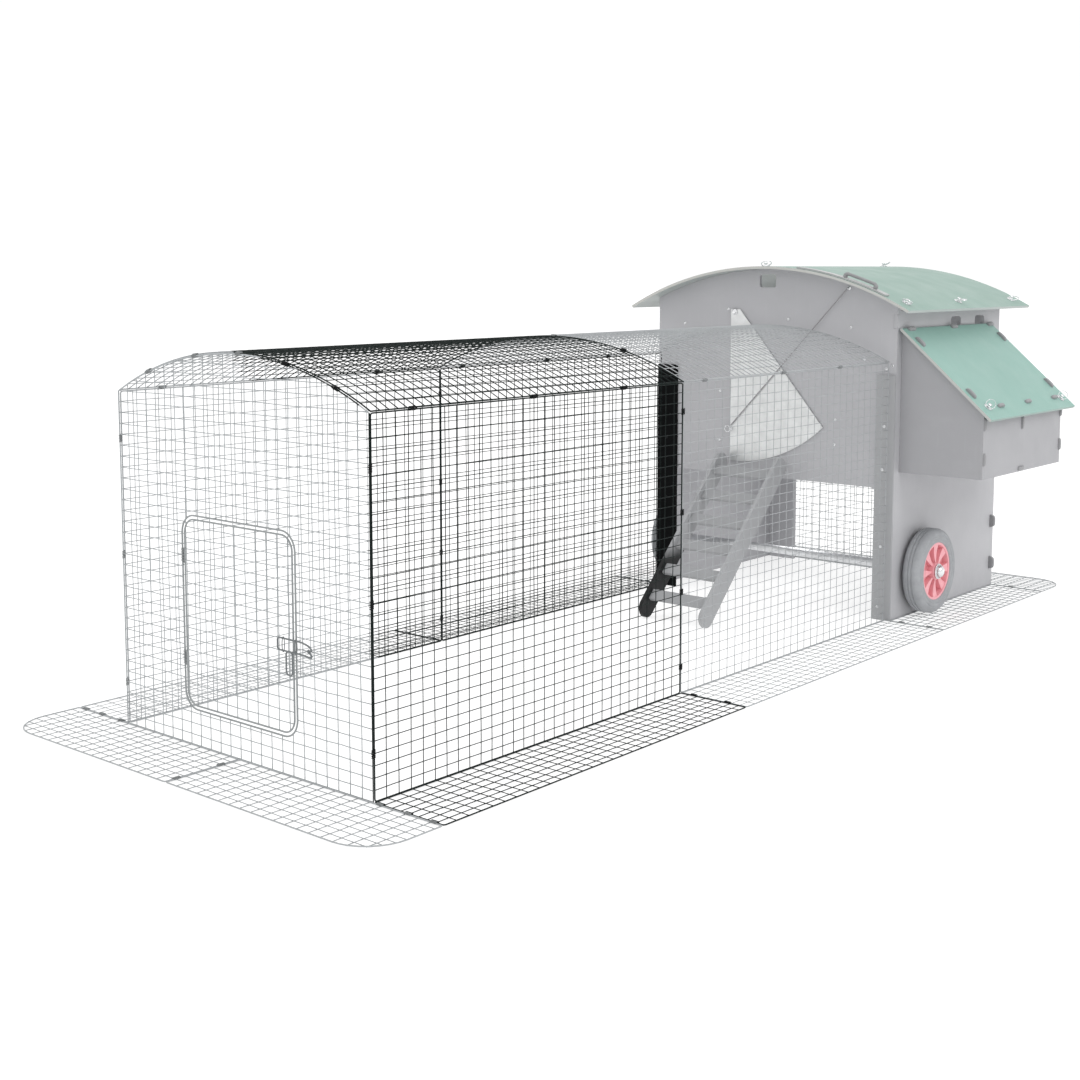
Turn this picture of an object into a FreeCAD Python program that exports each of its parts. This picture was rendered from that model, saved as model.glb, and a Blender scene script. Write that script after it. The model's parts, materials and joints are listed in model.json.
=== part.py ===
import FreeCAD, Part
import math
import os
from FreeCAD import Vector as V, Placement, Rotation

# Raised animal house on wheels with an arched, welded-mesh run in front of it.
# Millimetres. +Z up, +Y from the run's door towards the back of the house,
# +X towards the nest box. The origin is the middle of the footprint, on the
# ground: ORIGIN_X and ORIGIN_Y move the run's front centre line there.

os.makedirs("parts", exist_ok=True)
doc = FreeCAD.newDocument("wheeled_hutch")
sheet = doc.addObject("Spreadsheet::Sheet", "dims")


class Q:
    """A number together with the sheet expression that gives it."""

    def __init__(self, n, s=None):
        self.n = float(n)
        self.s = s if s is not None else repr(round(float(n), 6))

    @staticmethod
    def of(v):
        return v if isinstance(v, Q) else Q(v)

    def __add__(self, o):
        o = Q.of(o)
        return Q(self.n + o.n, "(%s + %s)" % (self.s, o.s))

    __radd__ = __add__

    def __sub__(self, o):
        o = Q.of(o)
        return Q(self.n - o.n, "(%s - %s)" % (self.s, o.s))

    def __rsub__(self, o):
        return Q.of(o) - self

    def __mul__(self, o):
        o = Q.of(o)
        return Q(self.n * o.n, "(%s * %s)" % (self.s, o.s))

    __rmul__ = __mul__

    def __truediv__(self, o):
        o = Q.of(o)
        return Q(self.n / o.n, "(%s / %s)" % (self.s, o.s))

    def __neg__(self):
        return Q(-self.n, "(0 - %s)" % self.s)


ROWS = [0]


def cell(alias, value):
    ROWS[0] += 1
    addr = "B%d" % ROWS[0]
    sheet.set("A%d" % ROWS[0], alias)
    sheet.set(addr, str(value))
    sheet.setAlias(addr, alias)
    return Q(value, "dims." + alias)


# overall placement
org_x = cell("origin_shift_x", -59.6)
org_y = cell("origin_shift_y", -1409.1)
# run
run_w = cell("run_width", 834)
eave = cell("run_eave", 780)
rise = cell("arch_rise", 100)
sec = cell("section_length", 1050)
wire = cell("mesh_wire", 2)
edge = cell("mesh_edge_wire", 3)
lgap = cell("mesh_layer_gap", 0.1)
frame_w = cell("frame_wire", 4)
door_w = cell("door_width", 365)
door_h = cell("door_height", 422)
door_z = cell("door_sill", 90)
door_r = cell("door_corner", 35)
door_gap = cell("door_ring_gap", 5)
skirt = cell("skirt_width", 195)
skirt_r = cell("skirt_corner_radius", 100)
# house
hf = cell("house_front", 2112)
hw = cell("house_width", 868)
hd = cell("house_depth", 706)
pt = cell("panel_thickness", 12)
wall_top = cell("side_wall_height", 932)
roof_r = cell("roof_radius", 1042)
roof_c = cell("roof_centre_height", 22)
roof_w = cell("roof_width", 1004)
roof_l = cell("roof_length", 848)
roof_f = cell("roof_front_overhang", 63)
roof_t = cell("roof_thickness", 8)
under = cell("underpass_height", 400)
under_r = cell("underpass_corner", 20)
post = cell("post_width", 60)
floor_z = cell("floor_height", 450)
hole_x = cell("pop_hole_left", 309)
hole_w = cell("pop_hole_width", 155)
hole_z = cell("pop_hole_sill", 482)
hole_h = cell("pop_hole_height", 240)
# nest box
nb_y = cell("nest_front_offset", 30)
nb_l = cell("nest_length", 560)
nb_o = cell("nest_outboard", 264)
nb_z = cell("nest_bottom", 449)
nb_h = cell("nest_front_height", 195.5)
nb_t = cell("nest_panel_thickness", 10)
lid_top = cell("lid_hinge_height", 879)
lid_ang = cell("lid_slope", 41.4)
lid_len = cell("lid_slope_length", 386)
lid_l = cell("lid_length", 612)
lid_t = cell("lid_thickness", 8)
# wheels
wh_d = cell("wheel_diameter", 260)
wh_w = cell("wheel_width", 58)
wh_y = cell("wheel_offset", 171)
wh_z = cell("wheel_centre_height", 135.5)
ax_d = cell("axle_diameter", 26)
hub_d = cell("hub_diameter", 176)
# ramp
rp_l = cell("ramp_length", 626)
rp_b = cell("ramp_board_width", 62)
rp_t = cell("ramp_board_thickness", 12)
rp_a = cell("ramp_slope", 46)
rp_w = cell("ramp_width", 230)
# swinging shutter
sh_r = cell("shutter_radius", 478)
sh_a = cell("shutter_sector_angle", 43)
sh_t = cell("shutter_thickness", 2)
sh_z = cell("shutter_pivot_height", 920)
sh_x = cell("shutter_pivot_x", -134.5)
doc.recompute()

OX, OY = org_x.n, org_y.n
OUT = []

ROT_FRONT = Rotation(V(1, 0, 0), V(0, 0, 1), V(0, -1, 0), "XYZ")   # local x,y,z -> X, Z, -Y
ROT_SIDE = Rotation(V(0, 1, 0), V(0, 0, 1), V(1, 0, 0), "XYZ")     # local x,y,z -> Y, Z, X


def put(obj, name, x=0.0, y=0.0, z=0.0, rot=None):
    obj.Label = name
    obj.Placement = Placement(V(x + OX, y + OY, z), rot or Rotation())
    OUT.append((name, obj))
    return obj


def bind(obj, **props):
    for k, v in props.items():
        v = Q.of(v)
        setattr(obj, k, v.n)
        if "dims." in v.s:
            obj.setExpression(k, v.s)
    return obj


def prim(kind, tag, pl=None, **props):
    o = doc.addObject("Part::" + kind, tag)
    bind(o, **props)
    if pl is not None:
        o.Placement = pl
    return o


def at(x, y, z, rot=None):
    return Placement(V(x, y, z), rot or Rotation())


def cut(tag, base, tools):
    tool = tools[0]
    if len(tools) > 1:
        tool = doc.addObject("Part::MultiFuse", tag + "_tools")
        tool.Shapes = tools
    o = doc.addObject("Part::Cut", tag)
    o.Base = base
    o.Tool = tool
    return o


def fuse(tag, objs):
    o = doc.addObject("Part::MultiFuse", tag)
    o.Shapes = objs
    return o


def group(tag, objs):
    o = doc.addObject("Part::Compound", tag)
    o.Links = objs
    return o


def feature(tag, shape):
    o = doc.addObject("Part::Feature", tag)
    o.Shape = shape
    return o


import Sketcher


# ---------------------------------------------------------------- sketches
def new_body(tag):
    return doc.addObject("PartDesign::Body", tag)


def new_sketch(body, tag, role="XY_Plane"):
    sk = body.newObject("Sketcher::SketchObject", tag)
    plane = [f for f in body.Origin.OriginFeatures if f.Role == role][0]
    sk.AttachmentSupport = [(plane, "")]
    sk.MapMode = "FlatFace"
    return sk


def _dim(sk, kind, a, pa, b, pb, q, nm):
    """A signed distance constraint, bound to the sheet."""
    q = Q.of(q)
    if abs(q.n) < 1e-9:
        return
    i = sk.addConstraint(Sketcher.Constraint(kind, a, pa, b, pb, q.n))
    if "dims." in q.s:
        sk.setExpression("Constraints[%d]" % i, q.s)


def sk_rect(sk, x, y, w, h, nm="r"):
    """A rectangle by its lower left corner and its size."""
    x, y, w, h = Q.of(x), Q.of(y), Q.of(w), Q.of(h)
    g = len(sk.Geometry)
    p = [V(x.n, y.n, 0), V(x.n + w.n, y.n, 0), V(x.n + w.n, y.n + h.n, 0), V(x.n, y.n + h.n, 0)]
    for i in range(4):
        sk.addGeometry(Part.LineSegment(p[i], p[(i + 1) % 4]), False)
    C = Sketcher.Constraint
    for i in range(4):
        sk.addConstraint(C("Coincident", g + i, 2, g + (i + 1) % 4, 1))
    sk.addConstraint(C("Horizontal", g))
    sk.addConstraint(C("Horizontal", g + 2))
    sk.addConstraint(C("Vertical", g + 1))
    sk.addConstraint(C("Vertical", g + 3))
    _dim(sk, "DistanceX", g, 1, g, 2, w, nm)
    _dim(sk, "DistanceY", g + 1, 1, g + 1, 2, h, nm)
    _dim(sk, "DistanceX", -1, 1, g, 1, x, nm)
    _dim(sk, "DistanceY", -1, 1, g, 1, y, nm)
    if abs(x.n) < 1e-9:
        sk.addConstraint(C("PointOnObject", g, 1, -2))
    if abs(y.n) < 1e-9:
        sk.addConstraint(C("PointOnObject", g, 1, -1))
    return g


def sk_round_rect(sk, x, y, w, h, r):
    """A rectangle with four rounded corners."""
    x, y, w, h, r = Q.of(x), Q.of(y), Q.of(w), Q.of(h), Q.of(r)
    g = len(sk.Geometry)
    X0, Y0, X1, Y1, R = x.n, y.n, x.n + w.n, y.n + h.n, r.n
    lines = [((X0 + R, Y0), (X1 - R, Y0)), ((X1, Y0 + R), (X1, Y1 - R)),
             ((X1 - R, Y1), (X0 + R, Y1)), ((X0, Y1 - R), (X0, Y0 + R))]
    arcs = [((X1 - R, Y0 + R), -90), ((X1 - R, Y1 - R), 0), ((X0 + R, Y1 - R), 90), ((X0 + R, Y0 + R), 180)]
    for i in range(4):
        a, b = lines[i]
        sk.addGeometry(Part.LineSegment(V(a[0], a[1], 0), V(b[0], b[1], 0)), False)
        c, a0 = arcs[i]
        sk.addGeometry(Part.ArcOfCircle(Part.Circle(V(c[0], c[1], 0), V(0, 0, 1), R),
                                        math.radians(a0), math.radians(a0 + 90)), False)
    C = Sketcher.Constraint
    for i in range(4):
        ln, ar, nx = g + 2 * i, g + 2 * i + 1, g + (2 * i + 2) % 8
        sk.addConstraint(C("Tangent", ln, 2, ar, 1))
        sk.addConstraint(C("Tangent", ar, 2, nx, 1))
    sk.addConstraint(C("Horizontal", g))
    sk.addConstraint(C("Vertical", g + 2))
    sk.addConstraint(C("Horizontal", g + 4))
    sk.addConstraint(C("Vertical", g + 6))
    for i in (1, 3, 5):
        sk.addConstraint(C("Equal", g + 7, g + i))
    i = sk.addConstraint(C("Radius", g + 7, R))
    if "dims." in r.s:
        sk.setExpression("Constraints[%d]" % i, r.s)
    # lower left centre from the origin, then the two spans between centres
    _dim(sk, "DistanceX", -1, 1, g + 7, 3, x + r, "x")
    _dim(sk, "DistanceY", -1, 1, g + 7, 3, y + r, "y")
    _dim(sk, "DistanceX", g + 7, 3, g + 1, 3, w - r * 2, "w")
    _dim(sk, "DistanceY", g + 1, 3, g + 3, 3, h - r * 2, "h")
    return g


def sk_arch(sk, w, hs, r):
    """A panel outline: flat foot, upright sides hs high, arched top of radius r."""
    w, hs, r = Q.of(w), Q.of(hs), Q.of(r)
    g = len(sk.Geometry)
    cy = hs.n - math.sqrt(r.n ** 2 - (w.n / 2) ** 2)
    a0 = math.atan2(hs.n - cy, w.n / 2)
    sk.addGeometry(Part.LineSegment(V(0, 0, 0), V(w.n, 0, 0)), False)
    sk.addGeometry(Part.LineSegment(V(w.n, 0, 0), V(w.n, hs.n, 0)), False)
    sk.addGeometry(Part.ArcOfCircle(Part.Circle(V(w.n / 2, cy, 0), V(0, 0, 1), r.n), a0, math.pi - a0), False)
    sk.addGeometry(Part.LineSegment(V(0, hs.n, 0), V(0, 0, 0)), False)
    C = Sketcher.Constraint
    sk.addConstraint(C("Coincident", g, 1, -1, 1))
    sk.addConstraint(C("Coincident", g, 2, g + 1, 1))
    sk.addConstraint(C("Coincident", g + 1, 2, g + 2, 1))
    sk.addConstraint(C("Coincident", g + 2, 2, g + 3, 1))
    sk.addConstraint(C("Coincident", g + 3, 2, g, 1))
    sk.addConstraint(C("Horizontal", g))
    sk.addConstraint(C("Vertical", g + 1))
    sk.addConstraint(C("Vertical", g + 3))
    _dim(sk, "DistanceX", g, 1, g, 2, w, "w")
    _dim(sk, "DistanceY", g + 1, 1, g + 1, 2, hs, "h")
    i = sk.addConstraint(C("Radius", g + 2, r.n))
    if "dims." in r.s:
        sk.setExpression("Constraints[%d]" % i, r.s)
    return g


def pad(body, sk, length, tag):
    p = body.newObject("PartDesign::Pad", tag)
    p.Profile = sk
    q = Q.of(length)
    p.Length = q.n
    if "dims." in q.s:
        p.setExpression("Length", q.s)
    body.Tip = p
    return p


def pocket(body, sk, tag, length=200):
    p = body.newObject("PartDesign::Pocket", tag)
    p.Profile = sk
    p.Length = length
    p.Midplane = True
    body.Tip = p
    return p


# ---------------------------------------------------------------- welded mesh
def inset_halfplanes(pts, d):
    """Half planes (nx, ny, k): nx*x + ny*y <= k, of a convex polygon drawn counter-clockwise, moved in by d."""
    out = []
    for (x0, y0), (x1, y1) in zip(pts, pts[1:] + pts[:1]):
        ln = math.hypot(x1 - x0, y1 - y0)
        nx, ny = (y1 - y0) / ln, -(x1 - x0) / ln
        out.append((nx, ny, nx * x0 + ny * y0 - d))
    return out


def span(hp, c, vertical):
    """The stretch of the line x = c (or y = c) that lies inside the half planes."""
    lo, hi = -1e9, 1e9
    for nx, ny, k in hp:
        a, b = (ny, nx) if vertical else (nx, ny)
        rest = k - b * c
        if abs(a) < 1e-9:
            if rest < -1e-9:
                return None
        elif a > 0:
            hi = min(hi, rest / a)
        else:
            lo = max(lo, rest / a)
    return (lo, hi) if hi > lo else None


def layer(pts, bars, w, border, vertical):
    """One sheet of parallel wires inside a border wire: a plate with one slot between each two wires."""
    hp = inset_halfplanes(pts, border)
    c = [p[0] if vertical else p[1] for p in pts]
    lo0, hi0 = min(c) + border, max(c) - border
    # the stretch where the inset outline is at least 3 mm deep
    wires = [Part.makePolygon([V(x, y, 0) for x, y in pts + pts[:1]])]
    stops = [lo0 - w / 2] + [b for b in bars if lo0 + 2.5 < b < hi0 - 2.5] + [hi0 + w / 2]
    for a, b in zip(stops, stops[1:]):
        u0, u1 = a + w / 2, b - w / 2
        if u1 - u0 < 3:
            continue
        s0, s1 = span(hp, u0 + 1e-6, vertical), span(hp, u1 - 1e-6, vertical)
        if s0 is None or s1 is None:
            continue
        if min(s0[1] - s0[0], s1[1] - s1[0]) < 3:
            continue
        quad = [(u0, s0[0]), (u1, s1[0]), (u1, s1[1]), (u0, s0[1])]
        if not vertical:
            quad = [(y, x) for x, y in quad]
        wires.append(Part.makePolygon([V(x, y, 0) for x, y in quad + quad[:1]]))
    face = Part.makeFace(wires, "Part::FaceMakerBullseye")
    return face.extrude(V(0, 0, w))


def steps(a, b, n):
    return [a + (b - a) * i / n for i in range(1, n)]


def mesh_solids(pts, xs, ys, border=None):
    """The two wire sheets of a welded mesh panel, one on the other, with a hair's gap."""
    w, b = wire.n, (border if border is not None else edge.n)
    up = layer(pts, xs, w, b, True)
    across = layer(pts, ys, w, b, False)
    across.translate(V(0, 0, w + lgap.n))
    return [up, across]


def rect_pts(x0, y0, x1, y1):
    return [(x0, y0), (x1, y0), (x1, y1), (x0, y1)]


def rounded_pts(x0, y0, x1, y1, r, corners=(1, 1, 1, 1), n=4):
    """A rectangle with some corners rounded as n chords: lower left, lower right, upper right, upper left."""
    spec = [((x0, y0), (1, 1), 180), ((x1, y0), (-1, 1), 270), ((x1, y1), (-1, -1), 0), ((x0, y1), (1, -1), 90)]
    out = []
    for (c, s, a0), on in zip(spec, corners):
        if not on:
            out.append(c)
            continue
        cx, cy = c[0] + s[0] * r, c[1] + s[1] * r
        for i in range(n + 1):
            a = math.radians(a0 + 90.0 * i / n)
            out.append((cx + r * math.cos(a), cy + r * math.sin(a)))
    return out


def mesh_panel(name, pts, xs, ys, x, y, z, rot=None, border=None):
    return put(feature("m_" + name, Part.makeCompound(mesh_solids(pts, xs, ys, border))), name, x, y, z, rot)


HW = run_w.n / 2
RR = (HW ** 2 + rise.n ** 2) / (2 * rise.n)       # radius of the run's arch
RC = eave.n + rise.n - RR                         # height of its centre
ROW = eave.n / 31.0
COLF = run_w.n / 24.0


def arch_z(x):
    return RC + math.sqrt(RR ** 2 - x ** 2)


# front mesh panel of the run, left open where the door goes: four fields
dx0, dx1 = -door_w.n / 2, door_w.n / 2
dz0, dz1 = door_z.n, door_z.n + door_h.n
ring0 = door_gap.n + frame_w.n                    # outer edge of the fixed ring, from the door ring
fx0, fx1 = dx0 - ring0 - 5.0, dx1 + ring0 + 0.6
fz0, fz1 = dz0 - ring0 - 0.6, dz1 + ring0 + 0.6


def front_field(x0, x1, z0, z1, top):
    cols = [-HW + COLF * i for i in range(1, 24)]
    rows = [ROW * i for i in range(1, 36)]
    if not top:
        pts = rect_pts(x0, z0, x1, z1)
    else:
        n = 8
        xs = [x1 + (x0 - x1) * i / n for i in range(n + 1)]
        pts = [(x0, z0), (x1, z0)] + [(x, arch_z(x)) for x in xs]
    return mesh_solids(pts, cols, rows, 2.5)


solids = []
solids += front_field(-HW, fx0, 0.0, 0, True)
solids += front_field(fx1, HW, 0.0, 0, True)
solids += front_field(fx0 + 0.3, fx1 - 0.3, 0.0, fz0, False)
solids += front_field(fx0 + 0.3, fx1 - 0.3, fz1, 0, True)
put(feature("m_run_front_panel", Part.makeCompound(solids)), "run_front_panel", 0, 4.1, 0, ROT_FRONT)


def ring(name, x, z, w, h, r, band, thick, y):
    """A wire bent to a closed rounded rectangle."""
    body = new_body("b_" + name)
    sk = new_sketch(body, "s_" + name)
    sk_round_rect(sk, 0, 0, w, h, r)
    sk_round_rect(sk, band, band, w - band * 2, h - band * 2, r - band)
    pad(body, sk, thick, "p_" + name)
    return put(body, name, x, y, z, ROT_FRONT)


ring("doorway_frame", dx0 - ring0, dz0 - ring0, door_w + door_gap * 2 + frame_w * 2,
     door_h + door_gap * 2 + frame_w * 2, door_r + door_gap + frame_w, frame_w, frame_w, 4.1)
ring("run_door_frame", dx0, dz0, door_w, door_h, door_r, frame_w, frame_w, 4.1)
mesh_panel("run_door_mesh", rounded_pts(4.3, 4.3, door_w.n - 4.3, door_h.n - 4.3, 30.7),
           [COLF * i for i in range(1, 11)], [ROW * i for i in range(1, 17)], dx0, 4.1, dz0, ROT_FRONT, 2.5)

# sleeves that hold the door to the fixed ring and turn round its left wire
hinge_x = dx0 - door_gap.n - frame_w.n / 2
hinge_y = 2.1
sleeves = []
for zz in (180.0, 410.0):
    c = prim("Cylinder", "sleeve_%d" % zz, at(hinge_x, hinge_y, zz), Radius=4.6, Height=34)
    b = prim("Box", "sleeve_tab_%d" % zz, at(hinge_x, -3.0, zz), Length=10.5, Width=2.0, Height=34)
    f = fuse("sleeve_f_%d" % zz, [c, b])
    h = prim("Cylinder", "sleeve_h_%d" % zz, at(hinge_x, hinge_y, zz - 1), Radius=3.3, Height=36)
    sleeves.append(cut("sleeve_c_%d" % zz, f, [h]))
put(group("g_sleeves", sleeves), "run_door_hinge_sleeves")

# sliding wire latch with a hanging loop
lx0, lx1, lz = dx1 - 42.0, dx1 + 68.0, 296.0
bar1 = prim("Cylinder", "latch_bar", at(lx0, -8.0, lz, Rotation(V(0, 1, 0), 90)), Radius=2.0, Height=lx1 - lx0)
bar2 = prim("Cylinder", "latch_bar_low", at(lx0, -8.0, lz - 26, Rotation(V(0, 1, 0), 90)), Radius=2.0, Height=lx1 - lx0)
end1 = prim("Box", "latch_end_a", at(lx0 - 1.5, -9.5, lz - 27.5), Length=3, Width=3, Height=29)
end2 = prim("Box", "latch_end_b", at(lx1 - 1.5, -9.5, lz - 27.5), Length=3, Width=3, Height=29)
loop_o = prim("Box", "latch_loop_o", at(dx1 - 14, -9.5, lz - 78), Length=20, Width=3, Height=53)
loop_i = prim("Box", "latch_loop_i", at(dx1 - 11, -10.5, lz - 75), Length=14, Width=5, Height=47)
loop = cut("latch_loop", loop_o, [loop_i])
put(fuse("latch_f", [bar1, bar2, end1, end2, loop]), "run_door_latch")

# the two side walls of each of the run's sections
colw = (sec.n - 6) / 30.0
for k, (y0, y1) in enumerate(((5.0, sec.n - 0.5), (sec.n + 0.5, 2 * sec.n)), 1):
    ln = y1 - y0
    for side, xx in (("left", -HW), ("right", HW - (2 * wire.n + lgap.n))):
        mesh_panel("run_%s_mesh_%d" % (side, k), rect_pts(0, 0, ln, eave.n - 0.6),
                   steps(0, ln, 30), [ROW * i for i in range(1, 31)], xx, y0, 0, ROT_SIDE)

# the arched roof of each section: six long flats, each a mesh of its own
AM = math.asin(HW / RR)
for k, (y0, y1) in enumerate(((5.0, sec.n - 0.5), (sec.n + 0.5, 2 * sec.n)), 1):
    ln = y1 - y0
    sol = []
    for i in range(6):
        a0, a1 = -AM + 2 * AM * i / 6, -AM + 2 * AM * (i + 1) / 6
        p0 = V(RR * math.sin(a0), 0, RC + RR * math.cos(a0))
        p1 = V(RR * math.sin(a1), 0, RC + RR * math.cos(a1))
        ch = p1.sub(p0)
        cl = ch.Length
        ux = V(ch.x / cl, 0, ch.z / cl)
        rot = Rotation(ux, V(0, 1, 0), V(-ux.z, 0, ux.x), "XYZ")
        for s_ in mesh_solids(rect_pts(0.25, 0, cl - 0.25, ln), [cl * j / 4 for j in (1, 2, 3)],
                              steps(0, ln, 42), 1.6):
            s_ = s_.copy()
            s_.Placement = Placement(V(p0.x, 0, p0.z), rot).multiply(s_.Placement)
            sol.append(s_)
    put(feature("m_roof_%d" % k, Part.makeCompound(sol)), "run_roof_mesh_%d" % k, 0, y0, 0)

# ground skirts
SW = skirt.n
CELL = SW / 8.0
inx = HW + 0.6


def skirt_panel(name, pts, nx, ny, x0, y0, x1, y1):
    mesh_panel(name, pts, steps(x0, x1, nx), steps(y0, y1, ny), 0, 0, 0)


X1 = inx + SW
skirt_panel("skirt_front_left", rounded_pts(-X1, -SW - 0.6, -0.4, -0.6, skirt_r.n, (1, 0, 0, 0)), 18, 8, -X1, -SW - 0.6, -0.4, -0.6)
skirt_panel("skirt_front_right", rounded_pts(0.4, -SW - 0.6, X1, -0.6, skirt_r.n, (0, 1, 0, 0)), 18, 8, 0.4, -SW - 0.6, X1, -0.6)
for side, xa, xb in (("left", -X1, -inx), ("right", inx, X1)):
    skirt_panel("skirt_%s_1" % side, rect_pts(xa, 0.0, xb, sec.n - 0.5), 8, 30, xa, 0, xb, sec.n - 0.5)
    skirt_panel("skirt_%s_2" % side, rect_pts(xa, sec.n + 0.5, xb, hf.n - 6.8), 8, 30, xa, sec.n + 0.5, xb, hf.n - 6.8)
hx = hw.n / 2 + 0.6
hb = hf.n + hd.n
for side, xa, xb in (("left", -X1, -hx), ("right", hx, X1)):
    skirt_panel("skirt_house_%s" % side, rect_pts(xa, hf.n - 6.0, xb, hb + 0.2), 7, 20, xa, hf.n - 6.0, xb, hb)
skirt_panel("skirt_house_back", rounded_pts(-X1, hb + 0.8, X1, hb + 0.8 + SW, skirt_r.n, (0, 0, 1, 1)), 35, 8, -X1, hb + 0.8, X1, hb + 0.8 + SW)

# sheet clips that close round the border wires of two neighbouring panels
def clip_block(tag, x, y, z, lx, ly, lz):
    return prim("Box", tag, at(x, y, z), Length=lx, Width=ly, Height=lz)


clips = []
n = 0
for sx in (-1, 1):
    for zz in (90.0, 390.0, 660.0):              # front corners
        n += 1
        x = HW + 0.4 if sx > 0 else -HW - 0.4 - 3
        clips.append(clip_block("clip_%d" % n, x, 0.5, zz, 3.0, 9.0, 20.0))
    for zz in (60.0, 250.0, 450.0, 700.0):       # joint between the two sections
        n += 1
        x = HW + 0.4 if sx > 0 else -HW - 0.4 - 3
        clips.append(clip_block("clip_%d" % n, x, sec.n - 7, zz, 3.0, 14.0, 16.0))
    for yy in (110.0, 480.0, 800.0, 1130.0, 1500.0, 1800.0):   # along the eaves
        n += 1
        x = HW + 0.4 if sx > 0 else -HW - 0.4 - 3
        clips.append(clip_block("clip_%d" % n, x, yy, eave.n - 14.8, 3.0, 20.0, 14.0))
arch_clips = []
for n, xx in enumerate((-300.0, -130.0, 20.0, 170.0, 320.0)):
    a = math.asin(xx / RR)
    b = clip_block("aclip_%d" % n, -10.0, -3.4, -16.0, 20.0, 3.0, 18.0)
    b.Placement = at(RR * math.sin(a), 0, RC + RR * math.cos(a), Rotation(V(0, 1, 0), math.degrees(a))).multiply(
        Placement(V(-10, -3.4, -16), Rotation()))
    arch_clips.append(b)
for n, xx in enumerate((-230.0, 0.0, 230.0)):
    a = math.asin(xx / RR)
    b = clip_block("rclip_%d" % n, 0, 0, 0, 18.0, 16.0, 3.0)
    b.Placement = at(RR * math.sin(a), sec.n, RC + RR * math.cos(a), Rotation(V(0, 1, 0), math.degrees(a))).multiply(
        Placement(V(-9, -8, 6.6), Rotation()))
    arch_clips.append(b)
sclips = []
sc = [(-6, -SW + 20), (-6, -60), (inx + 12, -7), (inx + 90, -7), (inx + 160, -7),
      (-inx - 30, -7), (-inx - 108, -7), (-inx - 176, -7),
      (inx + 30, sec.n - 7), (inx + 130, sec.n - 7), (-inx - 48, sec.n - 7), (-inx - 148, sec.n - 7),
      (hx + 30, hf.n - 13), (hx + 120, hf.n - 13), (-hx - 48, hf.n - 13), (-hx - 138, hf.n - 13),
      (hx + 60, hb - 7), (-hx - 78, hb - 7)]
for n, (xx, yy) in enumerate(sc):
    lx, ly = (12.0, 18.0) if n < 2 else (18.0, 14.0)
    sclips.append(clip_block("sclip_%d" % n, xx, yy, 4.3, lx, ly, 2.6))
put(group("g_clips", clips + arch_clips + sclips), "mesh_clips")

# ---------------------------------------------------------------- house shell
HX = hw.n / 2
under_roof = roof_r - roof_t - 0.4                # radius of the panels' arched top edges
hs_n = roof_c.n + math.sqrt((roof_r.n - roof_t.n - 0.4) ** 2 - HX ** 2)
hs = cell("end_panel_side_height", round(hs_n, 3))

body = new_body("b_front")
sk = new_sketch(body, "s_front")
sk_arch(sk, hw, hs, under_roof)
pad(body, sk, pt, "p_front")
sk = new_sketch(body, "s_front_holes")
sk_round_rect(sk, post, -under_r, hw - post * 2, under + under_r, under_r)       # way under the floor
sk_round_rect(sk, hole_x, hole_z, hole_w, hole_h, 20)                            # pop hole
sk_round_rect(sk, hw / 2 - 46, 998, 60, 42, 8)                                 # finger and vent slot
for zz in (250, 560, 880):
    sk_rect(sk, -1, zz, pt + 1.4, 41)
    sk_rect(sk, hw - pt - 0.4, zz, pt + 1.4, 41)
pocket(body, sk, "k_front")
put(body, "house_front_panel", -HX, hf.n + pt.n, 0, ROT_FRONT)

body = new_body("b_back")
sk = new_sketch(body, "s_back")
sk_arch(sk, hw - pt * 2 - 1, hs - 8, roof_r - roof_t - 6)
pad(body, sk, pt, "p_back")
sk = new_sketch(body, "s_back_holes")
sk_round_rect(sk, 104, -under_r, hw - pt * 2 - 209, under + under_r, under_r)
for i in range(4):
    sk_round_rect(sk, 180 + 140 * i, 850, 70, 14, 6)
pocket(body, sk, "k_back")
put(body, "house_back_panel", -HX + pt.n + 0.5, hb - 14.0, 0, ROT_FRONT)

side_l = hd - pt - 0.5
for side in ("left", "right"):
    body = new_body("b_side_" + side)
    sk = new_sketch(body, "s_side_" + side)
    sk_rect(sk, 12, 0, side_l, wall_top)
    pad(body, sk, pt, "p_side_" + side)
    sk = new_sketch(body, "s_side_t_" + side)     # tabs that pass through the front panel
    for zz in (250, 560, 880):
        sk_rect(sk, 0, zz + 0.5, 24, 40)
    pad(body, sk, pt, "p_side_t_" + side)
    sk = new_sketch(body, "s_side_h_" + side)     # vents, tab slots of the back panel, cut-out to the nest
    sk_round_rect(sk, 350, 878, 70, 30, 12)
    sk_round_rect(sk, 520, 878, 70, 30, 12)
    for zz in (60, 200, 480, 760):
        sk_rect(sk, side_l + 12 - 27, zz, 13, 41)
    if side == "right":
        sk_round_rect(sk, 60, 470, 500, 290, 30)
    g_ = len(sk.Geometry)                         # round hole for the axle
    sk.addGeometry(Part.Circle(V(wh_y.n - 0.5, wh_z.n, 0), V(0, 0, 1), ax_d.n / 2 + 0.6), False)
    sk.addConstraint(Sketcher.Constraint("Radius", g_, ax_d.n / 2 + 0.6))
    _dim(sk, "DistanceX", -1, 1, g_, 3, wh_y - 0.5, "ax")
    _dim(sk, "DistanceY", -1, 1, g_, 3, wh_z, "az")
    pocket(body, sk, "k_side_" + side)
    xx = -HX + 6.0 - 6.0 if side == "left" else HX - pt.n
    put(body, "house_%s_panel" % side, xx, hf.n + 0.5, 0, ROT_SIDE)

tabs = []
n = 0
for sx in (-1, 1):
    for zz in (60.0, 200.0, 480.0, 760.0):        # locking pegs at the back corners
        n += 1
        x0 = HX - pt.n - 0.2 if sx > 0 else -HX - 16.0
        tabs.append(prim("Box", "peg_%d" % n, at(x0, hb - 26.2, zz + 0.6), Length=pt.n + 16.2, Width=11.4, Height=39.8))

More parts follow.
